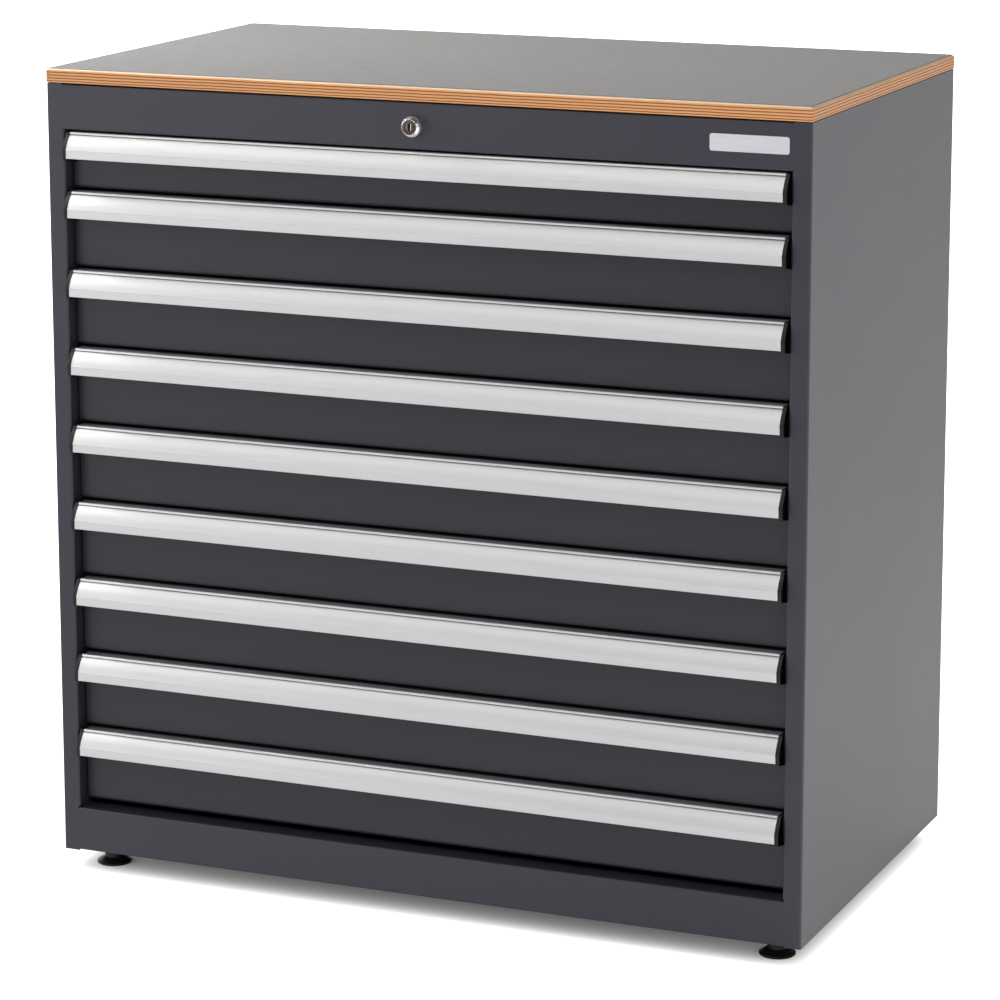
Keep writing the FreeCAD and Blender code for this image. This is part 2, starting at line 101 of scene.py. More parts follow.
# Drawers
DRAWER_COUNT = sum(name.endswith("_handle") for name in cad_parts)
DRAWER_SHEET = 1.0 * MM
FRONT_DEPTH = 12.0 * MM
FRONT_EDGE_RADIUS = 0.9 * MM
FRONT_BOTTOM_RADIUS = 5.0 * MM
FRONT_BOTTOM_TO_TRAY = 6.0 * MM
FRONT_TOP_TO_TRAY = 15.0 * MM
TRAY_RIM = 8.0 * MM
TRAY_CORNER = 1.5 * MM
TRAY_INSIDE_CARRIAGE = 21.8 * MM
RAIL_SHEET = 1.5 * MM
RAIL_HEIGHT = 23.6 * MM
RAIL_WIDTH = 10.5 * MM
RAIL_START = 34.0 * MM
RAIL_LENGTH = 500.0 * MM
RAIL_ABOVE_TRAY = 24.0 * MM

# Handle profile: out from the drawer's front, and down from its top edge
HANDLE_WALL = 2.0 * MM
BEAD_REACH = 18.0 * MM
BEAD_RADIUS = 3.0 * MM
BEAD_RISE = 0.8 * MM
END_SHORTFALL = 1.1 * MM
GROOVE_DEPTH = 1.3 * MM
GROOVE_HEIGHT = 0.9 * MM
GROOVE_SLOPE = 0.15
FACE_BULGE = 1.2 * MM
LIP_HEIGHT = 11.0 * MM
LIP_SETBACK = 0.6 * MM
LIP_EDGE = 0.5 * MM
RIDGE_RADIUS = 0.8 * MM
RIDGE_RISE = 0.45 * MM
RIDGE_STEP = 0.2 * MM
BACK_HEIGHT = 24.0 * MM
ARC_STEPS = 10
SHORT_ARC_STEPS = 6
CAP_RIM = 0.8 * MM
CAP_BELOW = 2.8 * MM
CAP_HEEL = 7.0 * MM
CAP_HEEL_WIDTH = 4.0 * MM
CAP_RIM_WIDTH = 2.0 * MM
CAP_HOLLOW = 3.5 * MM
CAP_ROUND = 1.2 * MM
CAP_NOSE_SETBACK = 1.2 * MM

# Lock
LOCK_STAND_OUT = 14.0 * MM
LOCK_BASE_RADIUS = 13.5 * MM
LOCK_BASE_EDGE = 0.5 * MM
LOCK_BASE_STEP = 0.2 * MM
LOCK_RIM = 1.5 * MM
LOCK_RING = 9.5 * MM
LOCK_FACE = 9.1 * MM
LOCK_FACE_EDGE = 0.2 * MM
LOCK_FACE_STEP = 0.35 * MM
LOCK_SHOULDER = 0.6 * MM
LOCK_BULGE = 1.7 * MM
LOCK_DISH = 1.2 * MM
LOCK_BORE = 7.05 * MM
LOCK_BARREL_RADIUS = 9.5 * MM
PLUG_EDGE = 0.4 * MM
PLUG_STEPS = 64
TANG_HALF_WIDTH = 3.5 * MM
KEYWAY_WIDTH = 3.8 * MM
KEYWAY_HEIGHT = 9.0 * MM
SHUTTER_WIDTH = 1.3 * MM
SHUTTER_HEIGHT = 8.0 * MM
SHUTTER_SETBACK = 0.4 * MM
SHUTTER_EDGE = 0.25 * MM
KEYWAY_DEPTH = 12.0 * MM
ROUND_STEPS = 96

# Worktop and name plate
BOARD_CHAMFER = 2.2 * MM
BOARD_EDGE = 0.25 * MM
SURFACE_THICKNESS = 0.8 * MM
PLATE_CORNER = 3.0 * MM
PLATE_BORDER = 1.4 * MM
PLATE_ENGRAVING = 0.12 * MM
PLATE_GROOVE = 0.25 * MM
PLATE_EDGE = 0.3 * MM

# Feet
PAD_RIM_HEIGHT = 3.5 * MM
PAD_CONE_TOP = 8.5 * MM
PAD_EDGE = 1.0 * MM
PAD_CONE_INSET = 1.0 * MM
PAD_CONE_RISE = 0.2 * MM
PAD_CONE_SAG = 0.6 * MM
HUB_RADIUS = 12.5 * MM
HUB_EDGE = 0.8 * MM
SOCKET_RADIUS = 6.1 * MM
SOCKET_FLOOR = 6.0 * MM
STUD_RADIUS = 6.0 * MM
STUD_CORE_RADIUS = 5.1 * MM
STUD_PITCH = 1.75 * MM
STUD_EDGE = 0.5 * MM
STUD_STEPS = 48
THREAD_FLAT = 0.2 * MM
STUD_HEX_WIDTH = 17.0 * MM
STUD_HEX_HEIGHT = 7.0 * MM
STUD_HEX_TOP = 29.0 * MM
STUD_HEX_EDGE = 0.4 * MM

# Textures
NOISE_LOW = 0.3
NOISE_HIGH = 0.7
DRAWN_STRETCH = (0.006, 1, 1)
MOTTLE_SCALE = 9.0
# Dark colour in the handles' groove: soil, and painted shade for the groove's shadow
SOIL_AND_SHADE_COLOUR = (0.10, 0.10, 0.10, 1.0)
STREAK_SCALES = (38.0, 105.0, 60.0)
FIBRE_SCALES = (60.0, 60.0, 2200.0)
FIBRE_SHADE = 0.25
FIBRE_TINT = (0.62, 0.50, 0.42, 1.0)
WAVER_SCALES = (14.0, 14.0, 40.0)
PLY_WAVER = 0.35 * MM

# The dark plies and the bevel, as shares of the board's height
DARK_PLIES = ((0.10, 0.15), (0.29, 0.35), (0.50, 0.56), (0.71, 0.77))
PLY_BLUR = 0.015
BEVEL_START = 0.885
BEVEL_FULL = 0.90

# The studio
FLOOR_REACH = 40.0
FLOOR_COLOUR = (0.8, 0.8, 0.8, 1.0)
SHADOW_REACH = 3.0
SHADOW_LIFT = 0.05
SHADOW_SAMPLES = 64
BACKDROP_WAY = (-0.84, 0.50, 0.20)
BACKDROP_START = 0.25
BOUNCE_FADE = 0.03
BOUNCE_REACH = 3.2
LOW_SKY_END = 0.5
LOW_SKY_START = 0.15
WHITE = (1.0, 1.0, 1.0, 1.0)

# Each light's place and width; its power is a setting of the studio
LIGHTS = {
    "key": ((-1.1, -1.65, 3.85), 2.4),
    "side": ((-2.9, -1.0, 2.1), 1.6),
    "front": ((-2.5, -3.6, 1.0), 2.0),
    "right": ((0.9, -3.4, 3.4), 1.6),
    "far right": ((3.2, -1.6, 2.2), 1.6),
}
LIGHTS_AIM = (0, 0, 0.6)
STRIP_PLACE = (-1.35, 0.05, 1.6)
STRIP_AIM = (0, 0.05, 1.1)
STRIP_WIDTH = 0.8
STRIP_SPREAD = math.radians(90)

# The photograph's camera
IMAGE_WIDTH = 1000
FOCAL_PIXELS = 3863.1
SHIFT_PIXELS = -118.1
CAMERA_PLACE = (1.8948, -4.4804, 1.6102)
CAMERA_YAW = math.radians(-22.993)
CAMERA_PITCH = math.radians(11.370)
CAMERA_ROLL = math.radians(-0.079)
SENSOR_WIDTH = 36.0
VIEW_END = 200.0

# Kinds of settings
colour_setting = functools.partial(bpy.props.FloatVectorProperty, subtype="COLOR", size=3, min=0.0, max=1.0)
share_setting = functools.partial(bpy.props.FloatProperty, subtype="FACTOR", min=0.0, max=1.0)
power_setting = functools.partial(bpy.props.FloatProperty, subtype="POWER", unit="POWER", min=0.0, max=2000.0)
level_setting = functools.partial(bpy.props.FloatProperty, min=0.0, max=10.0)


class CabinetPaint(bpy.types.PropertyGroup):
    """The powder coat on the carcass and the drawers"""
    carcass_colour: colour_setting(
        name="Carcass colour", description="Colour of the sides, header and plinth",
        default=(0.0290, 0.0284, 0.0418))
    # The carcass's powder coat, darkened as painted shade for the fronts' shade under the handles
    drawer_colour: colour_setting(
        name="Drawer colour", description="Colour of the drawer fronts and trays",
        default=(0.0205, 0.0196, 0.0292))
    grain: bpy.props.FloatProperty(
        name="Grain", description="Width of one pimple of the powder coat", subtype="DISTANCE", unit="LENGTH",
        default=1.3 * MM, min=0.2 * MM, max=5.0 * MM, precision=5)
    roughness: share_setting(name="Roughness", description="How matt the coat is", default=0.40)


class CabinetMetal(bpy.types.PropertyGroup):
    """The bare and plated metals"""
    handle_colour: colour_setting(
        name="Handle colour", description="Colour of the anodised handles", default=(0.70, 0.70, 0.70))
    handle_roughness: share_setting(
        name="Handle roughness", description="How matt the anodising is", default=0.49)
    plate_colour: colour_setting(
        name="Plate colour", description="Colour of the name plate", default=(0.92, 0.91, 0.97))
    zinc_colour: colour_setting(
        name="Zinc colour", description="Colour of the runners and the locking bar",
        default=(0.56, 0.57, 0.60))


class CabinetWorktop(bpy.types.PropertyGroup):
    """The plywood board and its surface"""
    surface_colour: colour_setting(
        name="Surface colour", description="Colour of the grey surface", default=(0.176, 0.171, 0.165))
    pale_ply: colour_setting(
        name="Pale ply", description="Colour of the plies cut along their grain",
        default=(0.70, 0.345, 0.138))
    dark_ply: colour_setting(
        name="Dark ply", description="Colour of the plies cut across their grain",
        default=(0.235, 0.068, 0.010))
    # The bevel's colour: partly paler wood, partly painted sheen
    bevel_ply_and_painted_sheen: colour_setting(
        name="Bevel ply and painted sheen", description="Colour of the bevel along the upper edge",
        default=(0.88, 0.64, 0.43))


class CabinetStudio(bpy.types.PropertyGroup):
    """The light and the floor"""
    low_sky: level_setting(
        name="Low sky", description="Light from all round the studio, near the horizon", default=0.42)
    high_sky: level_setting(
        name="High sky", description="Light from all round the studio, higher up", default=0.10)
    backdrop: level_setting(
        name="Backdrop", description="Light from the backdrop at the left, behind the cabinet", default=0.66)
    key_power: power_setting(
        name="Key light", description="Power of the large light high over the cabinet", default=20.0)
    side_power: power_setting(
        name="Side light", description="Power of the light at the left of the cabinet", default=42.0)
    front_power: power_setting(
        name="Front light", description="Power of the low light at the left, in front of the cabinet",
        default=20.0)
    right_power: power_setting(
        name="Right light", description="Power of the high light at the right, in front of the cabinet",
        default=36.0)
    far_right_power: power_setting(
        name="Far right light", description="Power of the light at the right of the cabinet", default=8.0)
    strip_power: power_setting(
        name="Strip light", description="Power of the narrow beam that grazes the worktop from the left",
        default=11.5)
    floor_white: level_setting(
        name="Floor white", description="How overexposed the camera sees the open floor", default=2.3)
    side_bounce: level_setting(
        name="Side bounce", description="Light that the floor at the right throws at the cabinet's side",
        default=0.97)
    front_bounce: level_setting(
        name="Front bounce", description="Light that the floor in front throws at the cabinet's plinth",
        default=0.27)


# Mesh helpers


def close(a, b):
    return abs(a - b) < SAME_PLACE


def corners_of(node):
    low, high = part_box(node)
    return Vector(low), Vector(high)


def add_box(bm, low, high):
    low = Vector(low)
    high = Vector(high)
    place = Matrix.Translation((low + high) / 2) @ Matrix.Diagonal((*(high - low), 1.0))
    bmesh.ops.create_cube(bm, size=1.0, matrix=place)


def edges_where(bm, test):
    """The edges whose two ends both pass a test on their place."""
    return [edge for edge in bm.edges if all(test(vert.co) for vert in edge.verts)]


def is_corner(edge):
    """Whether an edge is a corner between two faces, and not a part of a bend."""
    return len(edge.link_faces) == 2 and edge.calc_face_angle() > STEEP


def round_edges(bm, edges, radius, steps):
    bmesh.ops.bevel(bm, geom=edges, offset=radius, offset_type="OFFSET", segments=steps, profile=0.5,
                    affect="EDGES", clamp_overlap=True, material=-1)


def soften(bm, radius, steps=2, over=SHARP):
    """Rounds every edge that is sharper than an angle."""
    sharp = [edge for edge in bm.edges if len(edge.link_faces) == 2 and edge.calc_face_angle() > over]
    round_edges(bm, sharp, radius, steps)


def arc(centre, radius, start, end, steps):
    """Points round a centre from one angle to another, in degrees, both ends included."""
    turns = [math.radians(start + (end - start) * step / steps) for step in range(steps + 1)]
    return [(centre[0] + radius * math.cos(turn), centre[1] + radius * math.sin(turn)) for turn in turns]


def bow(start, end, rise, steps):
    """Points from start to end along a shallow arc that stands off the straight line to its left by rise."""
    across = Vector(end) - Vector(start)
    left = Vector((-across.y, across.x)).normalized()
    points = []
    for step in range(steps + 1):
        share = step / steps
        point = Vector(start) + across * share + left * (4 * rise * share * (1 - share))
        points.append(tuple(point))
    return points


def move_drawn(bm, drawn, along):
    """Moves the vertices among the parts that an extrusion has made."""
    bmesh.ops.translate(bm, verts=[part for part in drawn if isinstance(part, bmesh.types.BMVert)], vec=along)


def extruded_outline(bm, points, along):
    """A closed outline, given as places, filled and drawn out by a vector."""
    face = bm.faces.new([bm.verts.new(point) for point in points])
    move_drawn(bm, bmesh.ops.extrude_face_region(bm, geom=[face])["geom"], along)
    bmesh.ops.recalc_face_normals(bm, faces=bm.faces[:])


def drawn_sheet(bm, path, along, bend):
    """A sheet with no thickness yet: a path of corners drawn out by a vector, with its bends rounded. It
    faces the way of the path's direction crossed with the vector."""
    verts = [bm.verts.new(point) for point in path]
    edges = [bm.edges.new(pair) for pair in zip(verts, verts[1:])]
    outward = (verts[1].co - verts[0].co).cross(along)
    move_drawn(bm, bmesh.ops.extrude_edge_only(bm, edges=edges)["geom"], along)
    bm.normal_update()
    first = edges[0].link_faces[0]
    if first.normal.dot(outward) < 0:
        bmesh.ops.reverse_faces(bm, faces=bm.faces[:])
    creases = [edge for edge in bm.edges if len(edge.link_faces) == 2]
    round_edges(bm, creases, bend, BEND_STEPS)


def thicken(bm, thickness):
    """Gives a sheet its thickness, behind the side that it faces."""
    bm.normal_update()
    bmesh.ops.solidify(bm, geom=bm.faces[:], thickness=thickness)
    bmesh.ops.recalc_face_normals(bm, faces=bm.faces[:])


def bisect(bm, place, normal):
    everything = bm.verts[:] + bm.edges[:] + bm.faces[:]
    bmesh.ops.bisect_plane(bm, geom=everything, dist=SAME_PLACE, plane_co=place, plane_no=normal)


def mirrored_copy(bm):
    """The same mesh on the other side of the cabinet."""
    copy = bm.copy()
    bmesh.ops.scale(copy, vec=(-1, 1, 1), verts=copy.verts[:])
    bmesh.ops.reverse_faces(copy, faces=copy.faces[:])
    return copy


def spun(bm, outline, centre, axis, steps=ROUND_STEPS):
    """A turned shape: an outline of (radius, height along the axis) points, spun round the axis."""
    axis = Vector(axis)
    side = axis.orthogonal().normalized()
    verts = [bm.verts.new(Vector(centre) + side * radius + axis * height) for radius, height in outline]
    edges = [bm.edges.new(pair) for pair in zip(verts, verts[1:])]
    bmesh.ops.spin(bm, geom=verts + edges, cent=centre, axis=axis, dvec=(0, 0, 0), angle=2 * math.pi,
                   steps=steps, use_merge=True)
    bmesh.ops.remove_doubles(bm, verts=bm.verts[:], dist=SAME_PLACE)
    bmesh.ops.recalc_face_normals(bm, faces=bm.faces[:])


def finished(bm, name, body, slot, *stands_for):
    """Makes the mesh an object with its slot's finish, on its body, in place of the nodes it stands for."""
    for face in bm.faces:
        face.smooth = True
    for edge in bm.edges:
        edge.smooth = len(edge.link_faces) == 2 and edge.calc_face_angle() < SHARP
    mesh = bpy.data.meshes.new(name)
    bm.to_mesh(mesh)
    bm.free()
    mesh.materials.append(finish_of(slot))
    piece = bpy.data.objects.new(name, mesh)
    bpy.context.scene.collection.objects.link(piece)
    even = piece.modifiers.new("Even shading", "WEIGHTED_NORMAL")
    even.keep_sharp = True
    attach(piece, body)
    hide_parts(*stands_for)


def finished_pair(bm, name, *rest):
    """Finishes a piece of the left side, and its mirror image for the right side."""
    other = mirrored_copy(bm)
    finished(bm, name + "_left", *rest)
    finished(other, name + "_right", *rest)


def cut_out(bm, cutter):
    """Takes the space of one closed mesh out of another."""
    halves = []
    for part in (bm, cutter):
        mesh = bpy.data.meshes.new("cut")
        part.to_mesh(mesh)
        part.free()
        halves.append(bpy.data.objects.new("cut", mesh))
        bpy.context.scene.collection.objects.link(halves[-1])
    body, tool = halves
    difference = body.modifiers.new("Cut", "BOOLEAN")
    difference.operation = "DIFFERENCE"
    difference.solver = "EXACT"
    difference.object = tool
    bpy.context.view_layer.update()
    result = bmesh.new()
    result.from_object(body, bpy.context.evaluated_depsgraph_get())
    for half in halves:
        mesh = half.data
        bpy.data.objects.remove(half)
        bpy.data.meshes.remove(mesh)
    bmesh.ops.remove_doubles(result, verts=result.verts[:], dist=SAME_PLACE)
    return result


# Material helpers


def feed(tree, socket, value):
    """Gives an input socket its value, or links it where the value is another node's output."""
    if isinstance(value, bpy.types.NodeSocket):
        tree.links.new(value, socket)
    else:
        socket.default_value = value


def add_node(tree, kind, **values):
    """A shader node with its settings, and what feeds its input sockets given as in_NAME."""
    node = tree.nodes.new(kind)
    for name, value in values.items():
        if name.startswith("in_"):
            feed(tree, node.inputs[name.removeprefix("in_").replace("_", " ")], value)
        else:
            setattr(node, name, value)
    return node


def new_group(name, inputs, outputs):
    """A shader node group with its sockets, and the nodes at its two ends."""
    tree = bpy.data.node_groups.new(name, "ShaderNodeTree")
    for label, kind, default in inputs:
        socket = tree.interface.new_socket(label, in_out="INPUT", socket_type=kind)
        socket.default_value = default
    for label, kind in outputs:
        tree.interface.new_socket(label, in_out="OUTPUT", socket_type=kind)
    return tree, tree.nodes.new("NodeGroupInput"), tree.nodes.new("NodeGroupOutput")


def place_group(tree, group, **values):
    node = tree.nodes.new("ShaderNodeGroup")
    node.node_tree = group
    for name, value in values.items():
        node.inputs[name.replace("_", " ")].default_value = value
    return node


def math_node(tree, operation, first, second):
    """A Math node whose inputs are sockets or numbers."""
    node = add_node(tree, "ShaderNodeMath", operation=operation)
    for socket, value in zip(node.inputs, (first, second)):
        feed(tree, socket, value)
    return node.outputs["Value"]


def mix_colours(tree, share, first, second, blend="MIX"):
    """A colour between two others; each may be a socket or a plain colour."""
    node = add_node(tree, "ShaderNodeMix", data_type="RGBA", blend_type=blend)
    for name, value in (("Factor_Float", share), ("A_Color", first), ("B_Color", second)):
        feed(tree, next(socket for socket in node.inputs if socket.identifier == name), value)
    return next(socket for socket in node.outputs if socket.identifier == "Result_Color")


def stretched_places(tree, stretch):
    """The object's own coordinates, scaled along each axis."""
    places = tree.nodes.new("ShaderNodeTexCoord").outputs["Object"]
    return add_node(tree, "ShaderNodeMapping", in_Vector=places, in_Scale=stretch).outputs["Vector"]


def split_places(tree, kind):
    """The X, Y and Z of one kind of coordinates."""
    places = tree.nodes.new("ShaderNodeTexCoord").outputs[kind]
    return add_node(tree, "ShaderNodeSeparateXYZ", in_Vector=places).outputs


def noise(tree, places, scale, detail, rough, distortion=0.0):
    node = add_node(tree, "ShaderNodeTexNoise", in_Vector=places, in_Scale=scale, in_Detail=detail,
                    in_Roughness=rough, in_Distortion=distortion)
    return node.outputs["Fac"]


def coat_grain_group():
    """The fine orange peel of a powder coat: a height, and a slow mottle of its tone."""
    name = "Coat grain"
    if name in bpy.data.node_groups:
        return bpy.data.node_groups[name]
    group, given, result = new_group(name, [("Width", "NodeSocketFloat", 1.3 * MM)],
                                     [("Height", "NodeSocketFloat"), ("Mottle", "NodeSocketFloat")])
    places = stretched_places(group, (1, 1, 1))
    scale = math_node(group, "DIVIDE", 1.0, given.outputs["Width"])
    feed(group, result.inputs["Height"], noise(group, places, scale, detail=2.0, rough=0.55))
    feed(group, result.inputs["Mottle"], noise(group, places, MOTTLE_SCALE, detail=5.0, rough=0.6))
    return group


def drawn_lines_group():
    """Fine lines along the width, as drawing or brushing leaves them on metal."""
    name = "Drawn lines"
    if name in bpy.data.node_groups:
        return bpy.data.node_groups[name]
    group, given, result = new_group(name, [("Width", "NodeSocketFloat", 0.4 * MM)],
                                     [("Lines", "NodeSocketFloat")])
    places = stretched_places(group, DRAWN_STRETCH)
    scale = math_node(group, "DIVIDE", 1.0, given.outputs["Width"])
    feed(group, result.inputs["Lines"], noise(group, places, scale, detail=4.0, rough=0.7))
    return group


def new_material(name, colour, roughness, metallic=0.0, **settings):
    """A material with its Principled shader, whose constants are set on its own sockets."""
    material = bpy.data.materials.new(name)
    material.use_nodes = True
    tree = material.node_tree
    shader = next(node for node in tree.nodes if node.type == "BSDF_PRINCIPLED")
    shader.inputs["Base Color"].default_value = (*colour, 1.0)
    shader.inputs["Roughness"].default_value = roughness
    shader.inputs["Metallic"].default_value = metallic
    for label, value in settings.items():
        shader.inputs[label.replace("_", " ")].default_value = value
    material.diffuse_color = (*colour, 1.0)
    return material, tree, shader


def spread(tree, value, low, high):
    """Maps a noise value, which keeps near a half, to a range."""
    node = add_node(tree, "ShaderNodeMapRange", in_Value=value, in_From_Min=NOISE_LOW,
                    in_From_Max=NOISE_HIGH, in_To_Min=low, in_To_Max=high)
    return node.outputs["Result"]


def roughen(tree, shader, value, low, high):
    feed(tree, shader.inputs["Roughness"], spread(tree, value, low, high))


def bump(tree, shader, height, distance):
    node = add_node(tree, "ShaderNodeBump", in_Height=height, in_Distance=distance, in_Strength=1.0)
    feed(tree, shader.inputs["Normal"], node.outputs["Normal"])


def tones_of(tree, value, colour, darkest, lightest):
    """A colour that gets lighter and darker with a noise value."""
    dark = (*[part * darkest for part in colour], 1.0)
    light = (*[part * lightest for part in colour], 1.0)
    return mix_colours(tree, spread(tree, value, 0.0, 1.0), dark, light)


def toned(tree, shader, value, colour, darkest, lightest):
    feed(tree, shader.inputs["Base Color"], tones_of(tree, value, colour, darkest, lightest))


def patterned(name, colour, rough, rough_from, rough_to, width, depth, metallic=0.0, tones=None,
              group=coat_grain_group, pattern="Mottle", height="Height", **settings):
    """A material whose tone and roughness follow one output of a pattern's group, and its bump another."""
    material, tree, shader = new_material(name, colour, rough, metallic, **settings)
    grain = place_group(tree, group(), Width=width)
    if tones:
        toned(tree, shader, grain.outputs[pattern], colour, *tones)
    roughen(tree, shader, grain.outputs[pattern], rough_from, rough_to)
    bump(tree, shader, grain.outputs[height], depth)
    return material


def powder_coat(name, colour):
    paint = bpy.context.scene.cabinet_paint
    return patterned(name, colour, rough=paint.roughness, rough_from=paint.roughness - 0.008,
                     rough_to=paint.roughness + 0.008, width=paint.grain, depth=0.15 * MM, tones=(0.98, 1.02))


def carcass_finish():
    return powder_coat("Carcass powder coat", bpy.context.scene.cabinet_paint.carcass_colour)


# The same coat as the carcass, darker by painted shade
def drawer_finish_with_painted_shade():
    return powder_coat("Drawer powder coat", bpy.context.scene.cabinet_paint.drawer_colour)


def handle_finish():
    """Drawn aluminium, darkened in the groove where the mesh says so: soil, and painted shade for the
    groove's shadow.
    """
    metal = bpy.context.scene.cabinet_metal
    colour = tuple(metal.handle_colour)
    material, tree, shader = new_material("Anodised aluminium", colour, metal.handle_roughness, 1.0)
    lines = place_group(tree, drawn_lines_group(), Width=0.5 * MM)
    drawn = tones_of(tree, lines.outputs["Lines"], colour, 0.955, 1.03)
    # The groove's dark colour is soil, and painted shade
    soil = add_node(tree, "ShaderNodeAttribute", attribute_name="soil")
    feed(tree, shader.inputs["Base Color"], mix_colours(tree, soil.outputs["Fac"], drawn, SOIL_AND_SHADE_COLOUR))
    roughen(tree, shader, lines.outputs["Lines"], metal.handle_roughness - 0.06,
            metal.handle_roughness + 0.06)
    bump(tree, shader, lines.outputs["Lines"], 0.02 * MM)
    return material


def cap_finish():
    return patterned("Cap plastic", (0.004, 0.004, 0.0044), rough=0.45, rough_from=0.41, rough_to=0.50,
                     width=0.5 * MM, depth=0.03 * MM, Specular_IOR_Level=0.38)


def foot_finish():
    return patterned("Foot plastic", (0.012, 0.012, 0.013), rough=0.30, rough_from=0.24, rough_to=0.38,
                     width=0.8 * MM, depth=0.05 * MM)


def zinc_finish():
    colour = tuple(bpy.context.scene.cabinet_metal.zinc_colour)
    return patterned("Zinc plate", colour, rough=0.36, rough_from=0.28, rough_to=0.46, width=2.5 * MM,
                     depth=0.02 * MM, metallic=1.0, tones=(0.86, 1.08))


# Steel, darkened as painted shade for the shadow under the plinth
def stud_finish_with_painted_shade():
    return patterned("Stud steel", (0.17, 0.17, 0.18), rough=0.42, rough_from=0.36, rough_to=0.5,
                     width=1.0 * MM, depth=0.02 * MM, metallic=1.0, tones=(0.8, 1.1))


def chrome_finish():
    return patterned("Lock chrome", (0.76, 0.76, 0.77), rough=0.20, rough_from=0.17, rough_to=0.23,
                     width=1.5 * MM, depth=0.0008 * MM, metallic=1.0)


def plug_finish():
    return patterned("Lock plug", (0.13, 0.10, 0.095), rough=0.28, rough_from=0.2, rough_to=0.4,
                     width=0.6 * MM, depth=0.01 * MM, metallic=1.0, tones=(0.7, 1.2), pattern="Height")


def plate_finish():
    colour = tuple(bpy.context.scene.cabinet_metal.plate_colour)
    return patterned("Plate aluminium", colour, rough=0.36, rough_from=0.28, rough_to=0.44,
                     width=0.25 * MM, depth=0.01 * MM, metallic=1.0, tones=(0.92, 1.06),
                     group=drawn_lines_group, pattern="Lines", height="Lines")


def surface_finish():
    """A grey hard surface with a faint pattern of fine wavy streaks that run across the cabinet."""
    colour = tuple(bpy.context.scene.cabinet_worktop.surface_colour)
    material, tree, shader = new_material("Worktop surface", colour, 0.42, Specular_IOR_Level=0.28)
    streaks = noise(tree, stretched_places(tree, STREAK_SCALES), 1.0, detail=4.0, rough=0.62, distortion=1.4)
    toned(tree, shader, streaks, colour, darkest=0.70, lightest=1.30)
    roughen(tree, shader, streaks, low=0.38, high=0.46)
    bump(tree, shader, streaks, distance=0.14 * MM)
    return material


def plywood_finish():
    """Plywood cut square: pale plies along the grain, dark plies across it, and a paler bevel, whose colour
    is partly the paler wood and partly painted sheen.
    """
    worktop = bpy.context.scene.cabinet_worktop
    pale = (*worktop.pale_ply, 1.0)
    dark = (*worktop.dark_ply, 1.0)
    bevel = (*worktop.bevel_ply_and_painted_sheen, 1.0)
    material, tree, shader = new_material("Plywood", tuple(worktop.pale_ply), 0.50)
    low, high = corners_of("worktop_board")
    split = split_places(tree, "Object")
    waver = noise(tree, stretched_places(tree, WAVER_SCALES), 1.0, detail=3.0, rough=0.6)
    shifted = math_node(tree, "ADD", split["Z"], spread(tree, waver, -PLY_WAVER, PLY_WAVER))
    level = add_node(tree, "ShaderNodeMapRange", in_Value=shifted, in_From_Min=low.z, in_From_Max=high.z)
    plies = add_node(tree, "ShaderNodeValToRGB", in_Fac=level.outputs["Result"])
    ramp = plies.color_ramp
    ramp.interpolation = "LINEAR"
    stops = [(0.0, pale)]
    for start, end in DARK_PLIES:
        stops += [(start - PLY_BLUR, pale), (start, dark), (end, dark), (end + PLY_BLUR, pale)]
    # The paler bevel: partly painted sheen
    stops += [(BEVEL_START, pale), (BEVEL_FULL, bevel)]
    for index, (place, colour) in enumerate(stops):
        stop = ramp.elements[0] if index == 0 else ramp.elements.new(place)
        stop.position = place
        stop.color = colour
    ramp.elements.remove(ramp.elements[-1])
    fibres = noise(tree, stretched_places(tree, FIBRE_SCALES), 1.0, detail=5.0, rough=0.65)
    shade = spread(tree, fibres, 0.0, FIBRE_SHADE)
    tinted = mix_colours(tree, shade, plies.outputs["Color"], FIBRE_TINT, "MULTIPLY")
    feed(tree, shader.inputs["Base Color"], tinted)
    roughen(tree, shader, fibres, low=0.46, high=0.60)
    bump(tree, shader, fibres, distance=0.04 * MM)
    return material


@functools.cache
def finish_of(slot):
    """The material of a slot, which every piece with that slot shares."""
    makers = {
        "carcass_paint": carcass_finish,
        "drawer_paint": drawer_finish_with_painted_shade,
        "handle_aluminium": handle_finish,
        "cap_plastic": cap_finish,
        "foot_plastic": foot_finish,
        "runner_steel": zinc_finish,
        "stud_steel": stud_finish_with_painted_shade,
        "lock_chrome": chrome_finish,
        "lock_plug": plug_finish,
        "plate_aluminium": plate_finish,
        "worktop_film": surface_finish,
        "plywood": plywood_finish,
    }
    return makers[slot]()


def dress_node(name, slot):
    """Gives a carried-over node the finish of a slot."""
    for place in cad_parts[name].material_slots:
        place.link = "OBJECT"
        place.material = finish_of(slot)


# Pieces


